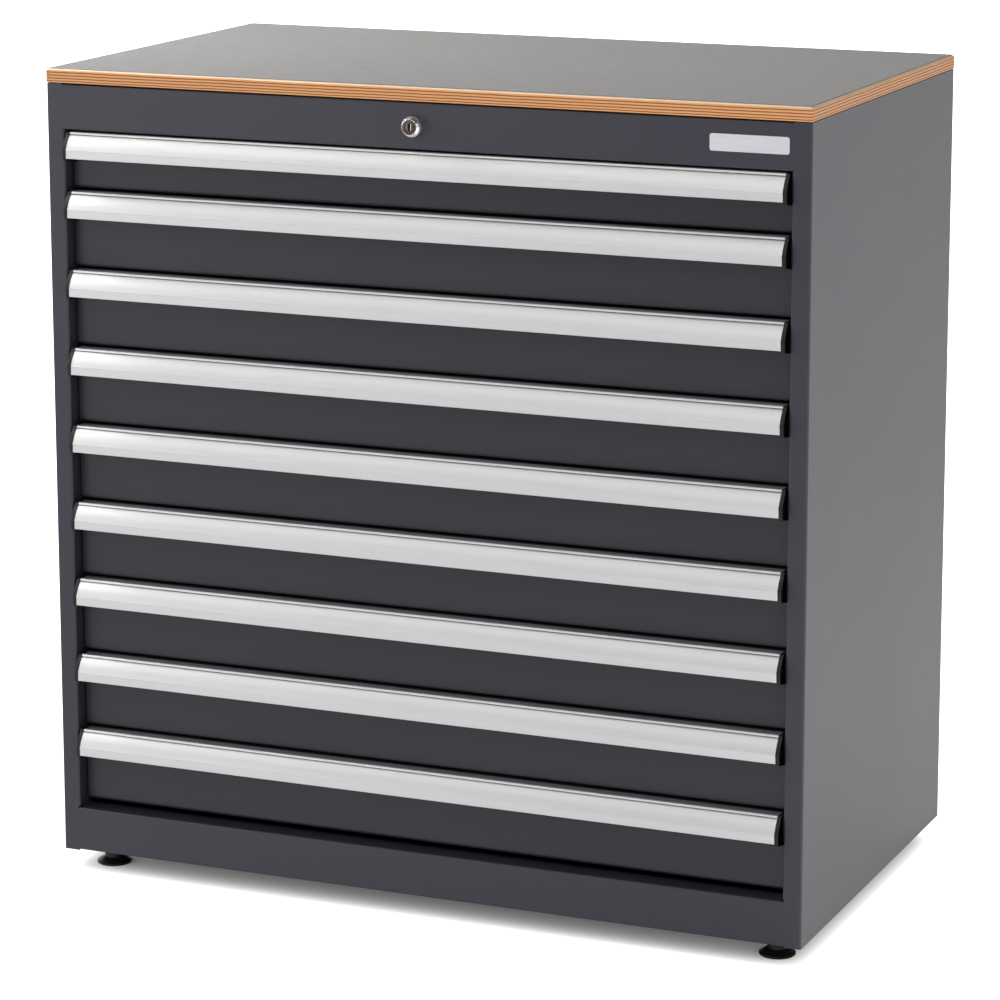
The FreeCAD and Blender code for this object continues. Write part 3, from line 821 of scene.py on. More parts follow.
def side_sheet():
    """The left side: rear flange, wall, post and jamb in one folded sheet, with the jamb cut away beside the
    header and the plinth rail, and a relief at its foot."""
    low, high = corners_of("side_panel_left")
    header_low = corners_of("front_header")[0].z
    plinth_high = corners_of("plinth_rail")[1].z
    bm = bmesh.new()
    post = low.x + POST_WIDTH
    path = [
        (low.x + REAR_FLANGE, high.y, low.z),
        (low.x, high.y, low.z),
        (low.x, low.y, low.z),
        (post, low.y, low.z),
        (post, low.y + JAMB_DEPTH, low.z),
    ]
    top = high.z - TOP_GAP
    drawn_sheet(bm, path, Vector((0, 0, top - low.z)), OUTER_BEND)
    for height in (plinth_high, plinth_high + RELIEF_HEIGHT, header_low):
        bisect(bm, (0, 0, height), (0, 0, 1))
    bisect(bm, (0, low.y + RELIEF_DEPTH, 0), (0, 1, 0))
    seam = post - OUTER_BEND

    def gone(face):
        middle = face.calc_center_median()
        if middle.x < seam or middle.y > low.y + JAMB_DEPTH + SAME_PLACE:
            return False
        beside_ends = middle.z < plinth_high or middle.z > header_low
        relief = middle.z < plinth_high + RELIEF_HEIGHT and middle.y < low.y + RELIEF_DEPTH
        return beside_ends or relief

    bmesh.ops.delete(bm, geom=[face for face in bm.faces if gone(face)], context="FACES")
    thicken(bm, CARCASS_SHEET)
    add_box(bm, (low.x + TOP_GAP_DEPTH, low.y + TOP_GAP_DEPTH, top - CARCASS_SHEET),
            (seam, high.y - TOP_GAP_DEPTH, high.z))
    return bm


def build_sides():
    left = side_sheet()
    right = mirrored_copy(left)
    finished(left, "side_left", "cabinet", "carcass_paint", "side_panel_left")
    finished(right, "side_right", "cabinet", "carcass_paint", "side_panel_right")


def build_lock_guides():
    """The forks on the left side panel that the locking bar slides in."""
    low = corners_of("side_panel_left")[0]
    tops = [corners_of("drawer_%d_handle" % number)[1].z for number in range(1, DRAWER_COUNT + 1)]
    gaps = [*tops[1:], 2 * tops[-1] - tops[-2]]
    slot_middle = low.y + JAMB_DEPTH + GUIDE_SETBACK
    bm = bmesh.new()
    for height in (gaps[0], gaps[len(gaps) // 2], gaps[-1]):
        start = Vector((low.x + CARCASS_SHEET, slot_middle - GUIDE_DEPTH / 2, height - GUIDE_HEIGHT / 2))
        end = start + Vector((GUIDE_WIDTH, GUIDE_DEPTH, GUIDE_HEIGHT))
        slot_low = slot_middle - GUIDE_SLOT / 2
        slot_high = slot_middle + GUIDE_SLOT / 2
        outline = [
            (start.x, start.y, start.z),
            (end.x, start.y, start.z),
            (end.x, slot_low, start.z),
            (start.x + GUIDE_WEB, slot_low, start.z),
            (start.x + GUIDE_WEB, slot_high, start.z),
            (end.x, slot_high, start.z),
            (end.x, end.y, start.z),
            (start.x, end.y, start.z),
        ]
        extruded_outline(bm, outline, Vector((0, 0, GUIDE_HEIGHT)))
    finished(bm, "lock_guides", "cabinet", "carcass_paint", "side_panel_left")


def build_header():
    low, high = corners_of("front_header")
    bm = bmesh.new()
    top = high.z - TOP_GAP
    path = [
        (low.x, low.y + HEADER_RETURN, top),
        (low.x, low.y, top),
        (low.x, low.y, low.z),
        (low.x, low.y + HEADER_RETURN, low.z),
    ]
    drawn_sheet(bm, path, Vector((high.x - low.x, 0, 0)), OUTER_BEND)
    thicken(bm, CARCASS_SHEET)
    lock_low, lock_high = corners_of("lock_plug")
    middle = (lock_low + lock_high) / 2
    cutter = bmesh.new()
    depth = 4 * CARCASS_SHEET
    place = Matrix.Translation((middle.x, low.y, middle.z)) @ Matrix.Rotation(math.radians(90), 4, "X")
    bmesh.ops.create_cone(cutter, cap_ends=True, segments=ROUND_STEPS, radius1=LOCK_HOLE_RADIUS,
                          radius2=LOCK_HOLE_RADIUS, depth=depth, matrix=place)
    bm = cut_out(bm, cutter)
    finished(bm, "header", "cabinet", "carcass_paint", "front_header")


def build_plinth():
    low, high = corners_of("plinth_rail")
    bm = bmesh.new()
    path = [
        (low.x, low.y + SILL_DEPTH, high.z - SILL_LIP),
        (low.x, low.y + SILL_DEPTH, high.z),
        (low.x, low.y, high.z),
        (low.x, low.y, low.z),
        (low.x, low.y + PLINTH_FOLD, low.z),
    ]
    drawn_sheet(bm, path, Vector((high.x - low.x, 0, 0)), OUTER_BEND)
    thicken(bm, CARCASS_SHEET)
    finished(bm, "plinth", "cabinet", "carcass_paint", "plinth_rail")


def build_worktop():
    low, high = corners_of("worktop_board")
    bm = bmesh.new()
    add_box(bm, low, high)
    round_edges(bm, edges_where(bm, lambda place: close(place.z, high.z)), BOARD_CHAMFER, steps=1)
    soften(bm, BOARD_EDGE, over=SLIGHT)
    finished(bm, "worktop_plywood", "cabinet", "plywood", "worktop_board")
    low, high = corners_of("worktop_surface")
    bm = bmesh.new()
    add_box(bm, low, high)
    top_edges = edges_where(bm, lambda place: close(place.z, high.z))
    round_edges(bm, top_edges, SURFACE_THICKNESS - 2 * SAME_PLACE, steps=3)
    finished(bm, "worktop_top", "cabinet", "worktop_film", "worktop_surface")


def build_drawer_front(number):
    """The folded front: a shallow pan, open at its back, with its widest bend at the bottom."""
    low, high = corners_of("drawer_%d_box" % number)
    handle_high = corners_of("drawer_%d_handle" % number)[1]
    face_y = handle_high.y
    back_y = face_y + FRONT_DEPTH
    bm = bmesh.new()
    add_box(bm, (low.x, face_y, low.z), (high.x, back_y, high.z))
    bm.faces.ensure_lookup_table()
    behind = [face for face in bm.faces if close(face.calc_center_median().y, back_y)]
    bmesh.ops.delete(bm, geom=behind, context="FACES_ONLY")

    def on_bottom(place):
        return close(place.y, face_y) and close(place.z, low.z)

    round_edges(bm, edges_where(bm, on_bottom), FRONT_BOTTOM_RADIUS, steps=8)
    round_edges(bm, [edge for edge in bm.edges if is_corner(edge)], FRONT_EDGE_RADIUS, steps=4)
    thicken(bm, DRAWER_SHEET)
    finished(bm, "drawer_%d_front" % number, "drawer_%d" % number, "drawer_paint", "drawer_%d_box" % number)


def build_tray(number):
    """The drawer's tray with its rims, and a rail on each side for the carriages' rollers."""
    low, high = corners_of("drawer_%d_box" % number)
    face_y = corners_of("drawer_%d_handle" % number)[1].y
    half = half_tray_width()
    start = face_y + FRONT_DEPTH
    tray_low = low.z + FRONT_BOTTOM_TO_TRAY
    tray_high = high.z - FRONT_TOP_TO_TRAY
    bm = bmesh.new()
    add_box(bm, (-half, start, tray_low), (half, high.y, tray_high))
    lid = [face for face in bm.faces if close(face.calc_center_median().z, tray_high)]
    bmesh.ops.delete(bm, geom=lid, context="FACES_ONLY")
    upright = [edge for edge in bm.edges if len(edge.link_faces) == 2]
    round_edges(bm, upright, TRAY_CORNER, steps=3)
    rim_edges = [edge for edge in bm.edges if len(edge.link_faces) == 1]
    for side in (LEFT, RIGHT):
        beside = [edge for edge in rim_edges if all(close(vert.co.x, side * half) for vert in edge.verts)]
        move_drawn(bm, bmesh.ops.extrude_edge_only(bm, edges=beside)["geom"], (side * TRAY_RIM, 0, 0))
    bmesh.ops.recalc_face_normals(bm, faces=bm.faces[:])
    thicken(bm, DRAWER_SHEET)
    finished(bm, "drawer_%d_tray" % number, "drawer_%d" % number, "drawer_paint", "drawer_%d_box" % number)
    middle = tray_low + RAIL_ABOVE_TRAY
    rail_y = corners_of("front_header")[0].y + RAIL_START
    bm = bmesh.new()
    path = [
        (-half - RAIL_WIDTH, rail_y, middle + RAIL_HEIGHT / 2),
        (-half, rail_y, middle + RAIL_HEIGHT / 2),
        (-half, rail_y, middle - RAIL_HEIGHT / 2),
        (-half - RAIL_WIDTH, rail_y, middle - RAIL_HEIGHT / 2),
    ]
    drawn_sheet(bm, path, Vector((0, RAIL_LENGTH, 0)), OUTER_BEND)
    thicken(bm, RAIL_SHEET)
    finished_pair(bm, "drawer_%d_rail" % number, "drawer_%d" % number, "runner_steel",
                  "drawer_%d_box" % number)


def half_tray_width():
    """Half the tray's width: it stops where the drawer's rails begin, inside its carriages."""
    return corners_of("drawer_1_carriage")[1].x - TRAY_INSIDE_CARRIAGE


HANDLE_REACH = corners_of("drawer_1_handle")[1].y - corners_of("drawer_1_handle")[0].y


def handle_outline(height):
    """The handle's section as (out, up) points, with its bead a little above the drawer's top edge."""
    ridge = height - LIP_HEIGHT
    groove_top = BEAD_RADIUS - BEAD_RISE
    face_start = groove_top + GROOVE_HEIGHT
    groove_floor = BEAD_REACH - GROOVE_DEPTH
    lip = HANDLE_REACH - LIP_SETBACK
    inner_lip = lip - HANDLE_WALL
    bead = BEAD_REACH - BEAD_RADIUS
    slope = (Vector((HANDLE_REACH, -ridge)) - Vector((BEAD_REACH, -face_start))).normalized()
    outward = Vector((-slope.y, slope.x))
    inner_start = Vector((BEAD_REACH, -face_start)) - outward * HANDLE_WALL
    drop = (inner_lip - inner_start.x) / slope.x * slope.y
    inner_end = (inner_lip, inner_start.y + drop)
    return [
        (0, 0),
        (bead - 2 * BEAD_RISE, 0),
        *arc((bead, -groove_top), BEAD_RADIUS, 100, 0, ARC_STEPS),
        (groove_floor, -groove_top - GROOVE_HEIGHT * GROOVE_SLOPE),
        (groove_floor, -face_start + GROOVE_HEIGHT * GROOVE_SLOPE),
        *bow((BEAD_REACH, -face_start), (HANDLE_REACH - RIDGE_RISE, -ridge + RIDGE_RISE), FACE_BULGE,
             ARC_STEPS),
        *arc((HANDLE_REACH - RIDGE_RADIUS, -ridge), RIDGE_RADIUS, 50, -50, SHORT_ARC_STEPS),
        (lip, -ridge - RIDGE_RADIUS - RIDGE_STEP),
        (lip, -height + LIP_EDGE),
        (lip - LIP_EDGE, -height),
        (inner_lip, -height),
        *bow(inner_end, tuple(inner_start), -FACE_BULGE, ARC_STEPS),
        (bead, -HANDLE_WALL),
        (HANDLE_WALL, -HANDLE_WALL),
        (HANDLE_WALL, -BACK_HEIGHT),
        (0, -BACK_HEIGHT),
    ]


def on_face(node, outline, start):
    """Places of a section's points on a drawer's face, at one end of a node."""
    drawer = node.replace("_end_caps", "_handle")
    face_y = corners_of(drawer)[1].y
    top = corners_of(drawer.replace("_handle", "_box"))[1].z
    return [(start, face_y - out, top + up) for out, up in outline]


def build_handle(number):
    node = "drawer_%d_handle" % number
    low, high = corners_of(node)
    top = corners_of("drawer_%d_box" % number)[1].z
    outline = handle_outline(top - low.z)
    bm = bmesh.new()
    start = low.x + END_SHORTFALL
    extruded_outline(bm, on_face(node, outline, start), Vector((-2 * start, 0, 0)))
    groove_y = high.y - BEAD_REACH + GROOVE_DEPTH
    # Marks the groove for its dark colour: soil, and painted shade
    soil = bm.verts.layers.float.new("soil")
    for vert in bm.verts:
        in_groove = close(vert.co.y, groove_y) and vert.co.z < top - BEAD_RADIUS + BEAD_RISE
        vert[soil] = 1.0 if in_groove else 0.0
    finished(bm, "drawer_%d_grip" % number, "drawer_%d" % number, "handle_aluminium", node)


def cap_outline(height):
    """The end cap's section: the handle's outside with a rim, lower at its foot and lowest at its heel."""
    ridge = height - LIP_HEIGHT
    groove_top = BEAD_RADIUS - BEAD_RISE
    face_start = groove_top + GROOVE_HEIGHT
    bead = BEAD_REACH - BEAD_RADIUS
    nose = HANDLE_REACH - CAP_NOSE_SETBACK
    foot = -height - CAP_BELOW
    heel = -height - CAP_HEEL
    bead_radius = BEAD_RADIUS + CAP_RIM
    return [
        (0, 0),
        (bead - 2 * BEAD_RISE, 0),
        *arc((bead, BEAD_RISE - bead_radius), bead_radius, 95, 10, ARC_STEPS),
        *bow((BEAD_REACH + CAP_RIM, -face_start), (HANDLE_REACH, -ridge), FACE_BULGE, ARC_STEPS),
        *arc((nose - CAP_BELOW, foot + CAP_BELOW), CAP_BELOW, 0, -90, SHORT_ARC_STEPS),
        (CAP_HEEL_WIDTH, heel),
        (0, heel),
    ]


def build_end_caps(number):
    """The caps: each a block with a rounded rim round a hollow outer side."""
    node = "drawer_%d_end_caps" % number
    handle_low = corners_of("drawer_%d_handle" % number)[0]
    top = corners_of("drawer_%d_box" % number)[1].z
    low = corners_of(node)[0]
    bm = bmesh.new()
    outline = cap_outline(top - handle_low.z)
    start = low.x + END_SHORTFALL
    extruded_outline(bm, on_face(node, outline, start), Vector((handle_low.x - low.x, 0, 0)))
    outer = min(bm.faces, key=lambda face: face.calc_center_median().x)
    bmesh.ops.inset_region(bm, faces=[outer], thickness=CAP_RIM_WIDTH, depth=0.0)
    bmesh.ops.translate(bm, verts=outer.verts, vec=(CAP_HOLLOW, 0, 0))
    rim = [edge for edge in edges_where(bm, lambda place: close(place.x, start)) if is_corner(edge)]
    round_edges(bm, rim, CAP_ROUND, steps=3)
    finished_pair(bm, "drawer_%d_cap" % number, "drawer_%d" % number, "cap_plastic", node)


def lock_centre():
    low, high = corners_of("lock_housing")
    front = corners_of("front_header")[0].y
    return Vector(((low.x + high.x) / 2, front, (low.z + high.z) / 2))


def build_lock():
    """The turned collar, and the flat ring between it and the plug."""
    centre = lock_centre()
    barrel = corners_of("lock_housing")[1].y - centre.y
    bm = bmesh.new()
    face = LOCK_STAND_OUT
    shoulder = arc((LOCK_RING, face - LOCK_SHOULDER), LOCK_SHOULDER, 90, 50, 4)
    outline = [
        (LOCK_BORE, -barrel),
        (LOCK_BORE, face - LOCK_DISH),
        (LOCK_FACE, face - LOCK_DISH),
        (LOCK_FACE, face - LOCK_FACE_EDGE),
        (LOCK_FACE + LOCK_FACE_EDGE, face),
        *shoulder,
        *bow((LOCK_RING + LOCK_SHOULDER, face - LOCK_SHOULDER), (LOCK_BASE_RADIUS - LOCK_BASE_STEP, LOCK_RIM),
             LOCK_BULGE, 12),
        (LOCK_BASE_RADIUS, LOCK_RIM - LOCK_BASE_EDGE),
        (LOCK_BASE_RADIUS, 0),
        (LOCK_BARREL_RADIUS, 0),
        (LOCK_BARREL_RADIUS, -barrel),
        (LOCK_BORE, -barrel),
    ]
    spun(bm, outline, centre, (0, -1, 0))
    finished(bm, "lock_collar", "cabinet", "lock_chrome", "lock_housing")
    floor = face - LOCK_DISH
    step = LOCK_FACE_STEP
    middle = (LOCK_BORE + LOCK_FACE) / 2
    rim = LOCK_FACE - 2 * SAME_PLACE
    outline = [
        (LOCK_BORE, floor - step),
        (LOCK_BORE, floor + step),
        (middle, floor + step),
        (middle + step, floor + step / 2),
        (rim, floor + step / 2),
        (rim, floor - step),
        (LOCK_BORE, floor - step),
    ]
    ring = bmesh.new()
    spun(ring, outline, centre, (0, -1, 0))
    finished(ring, "lock_face", "cabinet", "lock_plug", "lock_housing")


def build_lock_plug():
    """The turning plug with its keyway, and the tang that carries the cam."""
    centre = lock_centre()
    low, high = corners_of("lock_plug")
    radius = (high.x - low.x) / 2
    back = corners_of("lock_cam")[0].y
    bm = bmesh.new()
    outline = [
        (0, centre.y - back),
        (radius, centre.y - back),
        (radius, centre.y - low.y - PLUG_EDGE),
        (radius - PLUG_EDGE, centre.y - low.y),
        (0, centre.y - low.y),
    ]
    spun(bm, outline, centre, (0, -1, 0), PLUG_STEPS)
    cutter = bmesh.new()
    half_width = KEYWAY_WIDTH / 2
    half_height = KEYWAY_HEIGHT / 2
    add_box(cutter, (centre.x - half_width, low.y - PLUG_EDGE, centre.z - half_height),
            (centre.x + half_width, low.y + KEYWAY_DEPTH, centre.z + half_height))
    bm = cut_out(bm, cutter)
    tang = TANG_HALF_WIDTH
    add_box(bm, (centre.x - tang, back, centre.z - tang), (centre.x + tang, high.y, centre.z + tang))
    finished(bm, "lock_core", "lock_plug", "lock_plug", "lock_plug")
    shutter = bmesh.new()
    right = centre.x + half_width
    half_shutter = SHUTTER_HEIGHT / 2
    add_box(shutter, (right - SHUTTER_WIDTH, low.y + SHUTTER_SETBACK, centre.z - half_shutter),
            (right, low.y + KEYWAY_DEPTH, centre.z + half_shutter))
    soften(shutter, SHUTTER_EDGE)
    finished(shutter, "lock_shutter", "lock_plug", "lock_chrome", "lock_plug")


def build_name_plate():
    """A bare plate with rounded corners and a fine engraved border."""
    low, high = corners_of("name_plate")
    bm = bmesh.new()
    add_box(bm, low, high)
    through = [edge for edge in bm.edges if not close(edge.verts[0].co.y, edge.verts[1].co.y)]
    round_edges(bm, through, PLATE_CORNER, steps=8)
    face = min(bm.faces, key=lambda each: each.calc_center_median().y)
    bmesh.ops.inset_region(bm, faces=[face], thickness=PLATE_BORDER, depth=0.0)
    centre_face = max((each for each in bm.faces if close(each.calc_center_median().y, low.y)),
                      key=lambda each: len(each.verts))
    bmesh.ops.inset_region(bm, faces=[centre_face], thickness=PLATE_GROOVE, depth=-PLATE_ENGRAVING)
    outer = [edge for edge in edges_where(bm, lambda place: close(place.y, low.y)) if is_corner(edge)]
    round_edges(bm, outer, PLATE_EDGE, steps=3)
    finished(bm, "plate", "cabinet", "plate_aluminium", "name_plate")


def build_foot(place):
    """A pad with its hub, and a threaded stud with a hexagon to turn it by."""
    pad = "foot_pad_" + place
    low, high = corners_of(pad)
    centre = Vector(((low.x + high.x) / 2, (low.y + high.y) / 2, low.z))
    radius = (high.x - low.x) / 2
    hub_top = high.z - low.z
    cone_start = (radius - PAD_EDGE - PAD_CONE_INSET, PAD_RIM_HEIGHT + PAD_CONE_RISE)
    outline = [
        (0, 0),
        (radius - PAD_EDGE, 0),
        (radius, PAD_EDGE),
        *arc((radius - PAD_EDGE, PAD_RIM_HEIGHT - PAD_EDGE), PAD_EDGE, 0, 70, 5),
        *bow(cone_start, (HUB_RADIUS, PAD_CONE_TOP), -PAD_CONE_SAG, SHORT_ARC_STEPS),
        (HUB_RADIUS, hub_top - HUB_EDGE),
        *arc((HUB_RADIUS - HUB_EDGE, hub_top - HUB_EDGE), HUB_EDGE, 20, 90, 4),
        (SOCKET_RADIUS, hub_top),
        (SOCKET_RADIUS, SOCKET_FLOOR),
        (0, SOCKET_FLOOR),
    ]
    bm = bmesh.new()
    spun(bm, outline, centre, (0, 0, 1))
    finished(bm, "pad_" + place, pad, "foot_plastic", pad)

    stud = "foot_stud_" + place
    low, high = corners_of(stud)
    bottom = low.z - centre.z
    top = high.z - centre.z
    hex_low = STUD_HEX_TOP - STUD_HEX_HEIGHT
    outline = [(0, bottom), (STUD_RADIUS - STUD_EDGE, bottom), (STUD_RADIUS, bottom + STUD_EDGE),
               (STUD_RADIUS, STUD_HEX_TOP)]
    turns = int((top - STUD_HEX_TOP) / STUD_PITCH) - 1
    for turn in range(turns):
        height = STUD_HEX_TOP + (turn + 0.5) * STUD_PITCH
        for reach, rise in ((STUD_CORE_RADIUS, 0), (STUD_RADIUS, STUD_PITCH / 2)):
            outline += [(reach, height + rise), (reach, height + rise + THREAD_FLAT)]
    outline += [(STUD_CORE_RADIUS, top), (0, top)]
    bm = bmesh.new()
    spun(bm, outline, centre, (0, 0, 1), STUD_STEPS)
    hexagon = Matrix.Translation(centre + Vector((0, 0, (hex_low + STUD_HEX_TOP) / 2)))
    hexagon = hexagon @ Matrix.Rotation(math.radians(30), 4, "Z")
    hex_verts = bmesh.ops.create_cone(bm, cap_ends=True, segments=6, radius1=STUD_HEX_WIDTH / math.sqrt(3),
                                      radius2=STUD_HEX_WIDTH / math.sqrt(3), depth=STUD_HEX_HEIGHT,
                                      matrix=hexagon)["verts"]
    hex_edges = [edge for edge in bm.edges if edge.verts[0] in hex_verts]
    round_edges(bm, hex_edges, STUD_HEX_EDGE, steps=2)
    finished(bm, "stud_" + place, stud, "stud_steel", stud)


# The studio


def step_up(tree, value, start, end, height):
    """A smooth step from nothing at one value to its full height at another."""
    steps = sorted(((start, 0.0), (end, height)))
    node = add_node(tree, "ShaderNodeMapRange", interpolation_type="SMOOTHSTEP", in_Value=value,
                    in_From_Min=steps[0][0], in_To_Min=steps[0][1],
                    in_From_Max=steps[1][0], in_To_Max=steps[1][1])
    return node.outputs["Result"]


def camera_sees(tree, seen, lit, result):
    """Shows one shader to the camera, and the other to all other rays."""
    path = tree.nodes.new("ShaderNodeLightPath")
    mix = add_node(tree, "ShaderNodeMixShader", in_Fac=path.outputs["Is Camera Ray"])
    tree.links.new(lit, mix.inputs[1])
    tree.links.new(seen, mix.inputs[2])
    tree.links.new(mix.outputs["Shader"], result.inputs["Surface"])


def build_floor():
    """A white floor that throws light at the cabinet's side and front. The camera sees it overexposed, with
    only the soft shadow of an even sky."""
    studio = bpy.context.scene.cabinet_studio
    bm = bmesh.new()
    bmesh.ops.create_grid(bm, x_segments=1, y_segments=1, size=FLOOR_REACH)
    mesh = bpy.data.meshes.new("floor")
    bm.to_mesh(mesh)
    bm.free()
    floor = bpy.data.objects.new("floor", mesh)
    bpy.context.scene.collection.objects.link(floor)
    material = bpy.data.materials.new("Studio floor")
    material.use_nodes = True
    tree = material.node_tree
    tree.nodes.clear()
    plain = add_node(tree, "ShaderNodeBsdfDiffuse", in_Color=FLOOR_COLOUR)
    open_sky = add_node(tree, "ShaderNodeAmbientOcclusion", samples=SHADOW_SAMPLES,
                        in_Distance=SHADOW_REACH)
    shown = math_node(tree, "MULTIPLY", open_sky.outputs["AO"], studio.floor_white)
    seen = add_node(tree, "ShaderNodeEmission", in_Strength=math_node(tree, "ADD", shown, SHADOW_LIFT))
    split = split_places(tree, "Object")
    side = CAD_BOX[1][0]
    front = corners_of("front_header")[0].y
    beside = step_up(tree, split["X"], side - BOUNCE_FADE / 2, side + BOUNCE_FADE, studio.side_bounce)
    near = step_up(tree, split["Y"], front - BOUNCE_REACH, front - BOUNCE_FADE, studio.front_bounce)
    ahead = step_up(tree, split["Y"], front, front - BOUNCE_FADE, 1.0)
    before = math_node(tree, "MULTIPLY", near, ahead)
    glow = add_node(tree, "ShaderNodeEmission", in_Strength=math_node(tree, "ADD", beside, before))
    lit = tree.nodes.new("ShaderNodeAddShader")
    tree.links.new(plain.outputs["BSDF"], lit.inputs[0])
    tree.links.new(glow.outputs["Emission"], lit.inputs[1])
    camera_sees(tree, seen.outputs["Emission"], lit.outputs["Shader"],
                tree.nodes.new("ShaderNodeOutputMaterial"))
    mesh.materials.append(material)


def build_sky():
    """The camera sees plain white. The cabinet is lit from near the horizon, and most from behind it at the
    left."""
    studio = bpy.context.scene.cabinet_studio
    world = bpy.data.worlds.new("Studio")
    bpy.context.scene.world = world
    world.use_nodes = True
    tree = world.node_tree
    tree.nodes.clear()
    along = add_node(tree, "ShaderNodeVectorMath", operation="DOT_PRODUCT")
    along.inputs[1].default_value = BACKDROP_WAY
    feed(tree, along.inputs[0], tree.nodes.new("ShaderNodeTexCoord").outputs["Generated"])
    height = split_places(tree, "Generated")["Z"]
    low = step_up(tree, height, LOW_SKY_END, LOW_SKY_START, studio.low_sky - studio.high_sky)
    behind = step_up(tree, along.outputs["Value"], BACKDROP_START, 1.0, studio.backdrop)
    level = math_node(tree, "ADD", math_node(tree, "ADD", low, behind), studio.high_sky)
    lit = add_node(tree, "ShaderNodeBackground", in_Color=WHITE, in_Strength=level)
    seen = add_node(tree, "ShaderNodeBackground", in_Color=WHITE)
    camera_sees(tree, seen.outputs["Background"], lit.outputs["Background"],
                tree.nodes.new("ShaderNodeOutputWorld"))


def build_area_light(name, place, target, size, power, spread=math.pi):
    light = bpy.data.lights.new(name, "AREA")
    light.shape = "SQUARE"
    light.size = size
    light.energy = power
    light.spread = spread
    lamp = bpy.data.objects.new(name, light)
    lamp.matrix_world = facing(place, target)
    lamp.visible_camera = False
    bpy.context.scene.collection.objects.link(lamp)


def facing(place, target):
    """A matrix at a place that looks at a target."""
    way = Vector(target) - Vector(place)
    return Matrix.Translation(place) @ way.to_track_quat("-Z", "Y").to_matrix().to_4x4()


def build_camera():
    camera = bpy.data.cameras.new("camera")
    camera.sensor_width = SENSOR_WIDTH
    camera.lens = camera.sensor_width * FOCAL_PIXELS / IMAGE_WIDTH
    camera.shift_y = SHIFT_PIXELS / IMAGE_WIDTH
    camera.clip_end = VIEW_END
    eye = bpy.data.objects.new("camera", camera)
    level = math.cos(CAMERA_PITCH)
    ahead = Vector((math.sin(CAMERA_YAW) * level, math.cos(CAMERA_YAW) * level, -math.sin(CAMERA_PITCH)))
    right = Vector((math.cos(CAMERA_YAW), -math.sin(CAMERA_YAW), 0.0))
    up = right.cross(ahead)
    right, up = (right * math.cos(CAMERA_ROLL) + up * math.sin(CAMERA_ROLL),
                 up * math.cos(CAMERA_ROLL) - right * math.sin(CAMERA_ROLL))
    turned = Matrix((right, up, -ahead)).transposed().to_4x4()
    eye.matrix_world = Matrix.Translation(CAMERA_PLACE) @ turned
    bpy.context.scene.collection.objects.link(eye)
    bpy.context.scene.camera = eye


# Operators


class CABINET_OT_studio(bpy.types.Operator):
    """Adds the floor, the light and the camera"""
    bl_idname = "cabinet.studio"
    bl_label = "Studio"

    def execute(self, context):
        studio = context.scene.cabinet_studio
        context.scene.view_settings.view_transform = "Standard"
        build_camera()
        build_floor()
        build_sky()
        for name, (place, width) in LIGHTS.items():
            power = getattr(studio, name.replace(" ", "_") + "_power")
            build_area_light(name, place, LIGHTS_AIM, width, power)
        build_area_light("strip", STRIP_PLACE, STRIP_AIM, STRIP_WIDTH, studio.strip_power, STRIP_SPREAD)
        return {"FINISHED"}


class CABINET_OT_carcass(bpy.types.Operator):
    """Builds the folded sides, the header and the plinth rail, and paints the panels that stay"""
    bl_idname = "cabinet.carcass"
    bl_label = "Carcass"

    def execute(self, context):
        build_sides()
        build_lock_guides()
        build_header()
        build_plinth()
        for name in ("back_panel", "top_panel", "base_panel"):
            dress_node(name, "carcass_paint")
        return {"FINISHED"}


class CABINET_OT_worktop(bpy.types.Operator):
    """Builds the plywood board and its surface"""
    bl_idname = "cabinet.worktop"
    bl_label = "Worktop"

    def execute(self, context):
        build_worktop()
        return {"FINISHED"}


class CABINET_OT_drawers(bpy.types.Operator):
    """Builds every drawer's front and tray"""
    bl_idname = "cabinet.drawers"
    bl_label = "Drawers"

    def execute(self, context):
        for number in range(1, DRAWER_COUNT + 1):
            build_drawer_front(number)
            build_tray(number)
        return {"FINISHED"}


class CABINET_OT_handles(bpy.types.Operator):
    """Builds every drawer's handle and end caps"""
    bl_idname = "cabinet.handles"
    bl_label = "Handles"

    def execute(self, context):
        for number in range(1, DRAWER_COUNT + 1):
            build_handle(number)
            build_end_caps(number)
        return {"FINISHED"}


class CABINET_OT_runners(bpy.types.Operator):
    """Finishes the runners and the locking bar"""
    bl_idname = "cabinet.runners"
    bl_label = "Runners"

    def execute(self, context):
        names = ["cabinet_rails", "lock_bar", "lock_cam", "lock_nut"]
        names += ["drawer_%d_carriage" % number for number in range(1, DRAWER_COUNT + 1)]
        for name in names:
            dress_node(name, "runner_steel")
        return {"FINISHED"}


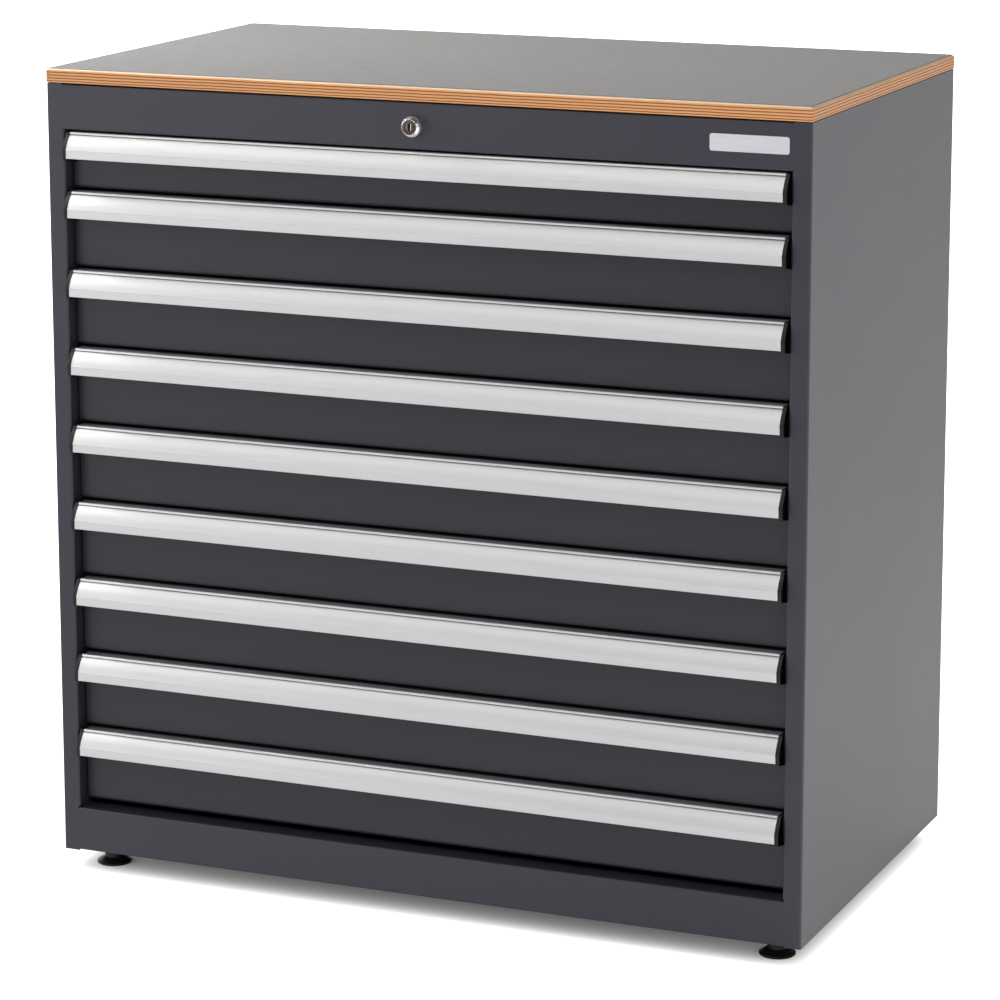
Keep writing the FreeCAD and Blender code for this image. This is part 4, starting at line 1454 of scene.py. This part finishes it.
class CABINET_OT_lock(bpy.types.Operator):
    """Builds the lock's collar and plug"""
    bl_idname = "cabinet.lock"
    bl_label = "Lock"

    def execute(self, context):
        build_lock()
        build_lock_plug()
        return {"FINISHED"}


class CABINET_OT_name_plate(bpy.types.Operator):
    """Builds the bare name plate"""
    bl_idname = "cabinet.name_plate"
    bl_label = "Name plate"

    def execute(self, context):
        build_name_plate()
        return {"FINISHED"}


class CABINET_OT_feet(bpy.types.Operator):
    """Builds the levelling feet"""
    bl_idname = "cabinet.feet"
    bl_label = "Feet"

    def execute(self, context):
        for place in ("front_left", "front_right", "back_left", "back_right"):
            build_foot(place)
        return {"FINISHED"}


class CABINET_PT_panel(bpy.types.Panel):
    """Lists the cabinet's pieces and its sizes and colours"""
    bl_label = "Tool cabinet"
    bl_space_type = "VIEW_3D"
    bl_region_type = "UI"
    bl_category = "Cabinet"

    def draw(self, context):
        scene = context.scene
        for group in (scene.cabinet_paint, scene.cabinet_metal, scene.cabinet_worktop, scene.cabinet_studio):
            box = self.layout.box()
            for name in group.__annotations__:
                box.prop(group, name)
        for operator in OPERATORS:
            self.layout.operator(operator.bl_idname)


GROUPS = {
    "cabinet_paint": CabinetPaint,
    "cabinet_metal": CabinetMetal,
    "cabinet_worktop": CabinetWorktop,
    "cabinet_studio": CabinetStudio,
}
OPERATORS = (
    CABINET_OT_studio,
    CABINET_OT_carcass,
    CABINET_OT_worktop,
    CABINET_OT_drawers,
    CABINET_OT_handles,
    CABINET_OT_runners,
    CABINET_OT_lock,
    CABINET_OT_name_plate,
    CABINET_OT_feet,
)


def register():
    for kind in (*GROUPS.values(), *OPERATORS, CABINET_PT_panel):
        bpy.utils.register_class(kind)
    for name, kind in GROUPS.items():
        setattr(bpy.types.Scene, name, bpy.props.PointerProperty(type=kind))


def unregister():
    for name in GROUPS:
        delattr(bpy.types.Scene, name)
    for kind in reversed((*GROUPS.values(), *OPERATORS, CABINET_PT_panel)):
        bpy.utils.unregister_class(kind)


def main():
    register()
    for operator in OPERATORS:
        getattr(bpy.ops.cabinet, operator.bl_idname.split(".")[1])()


if __name__ == "__main__":
    main()
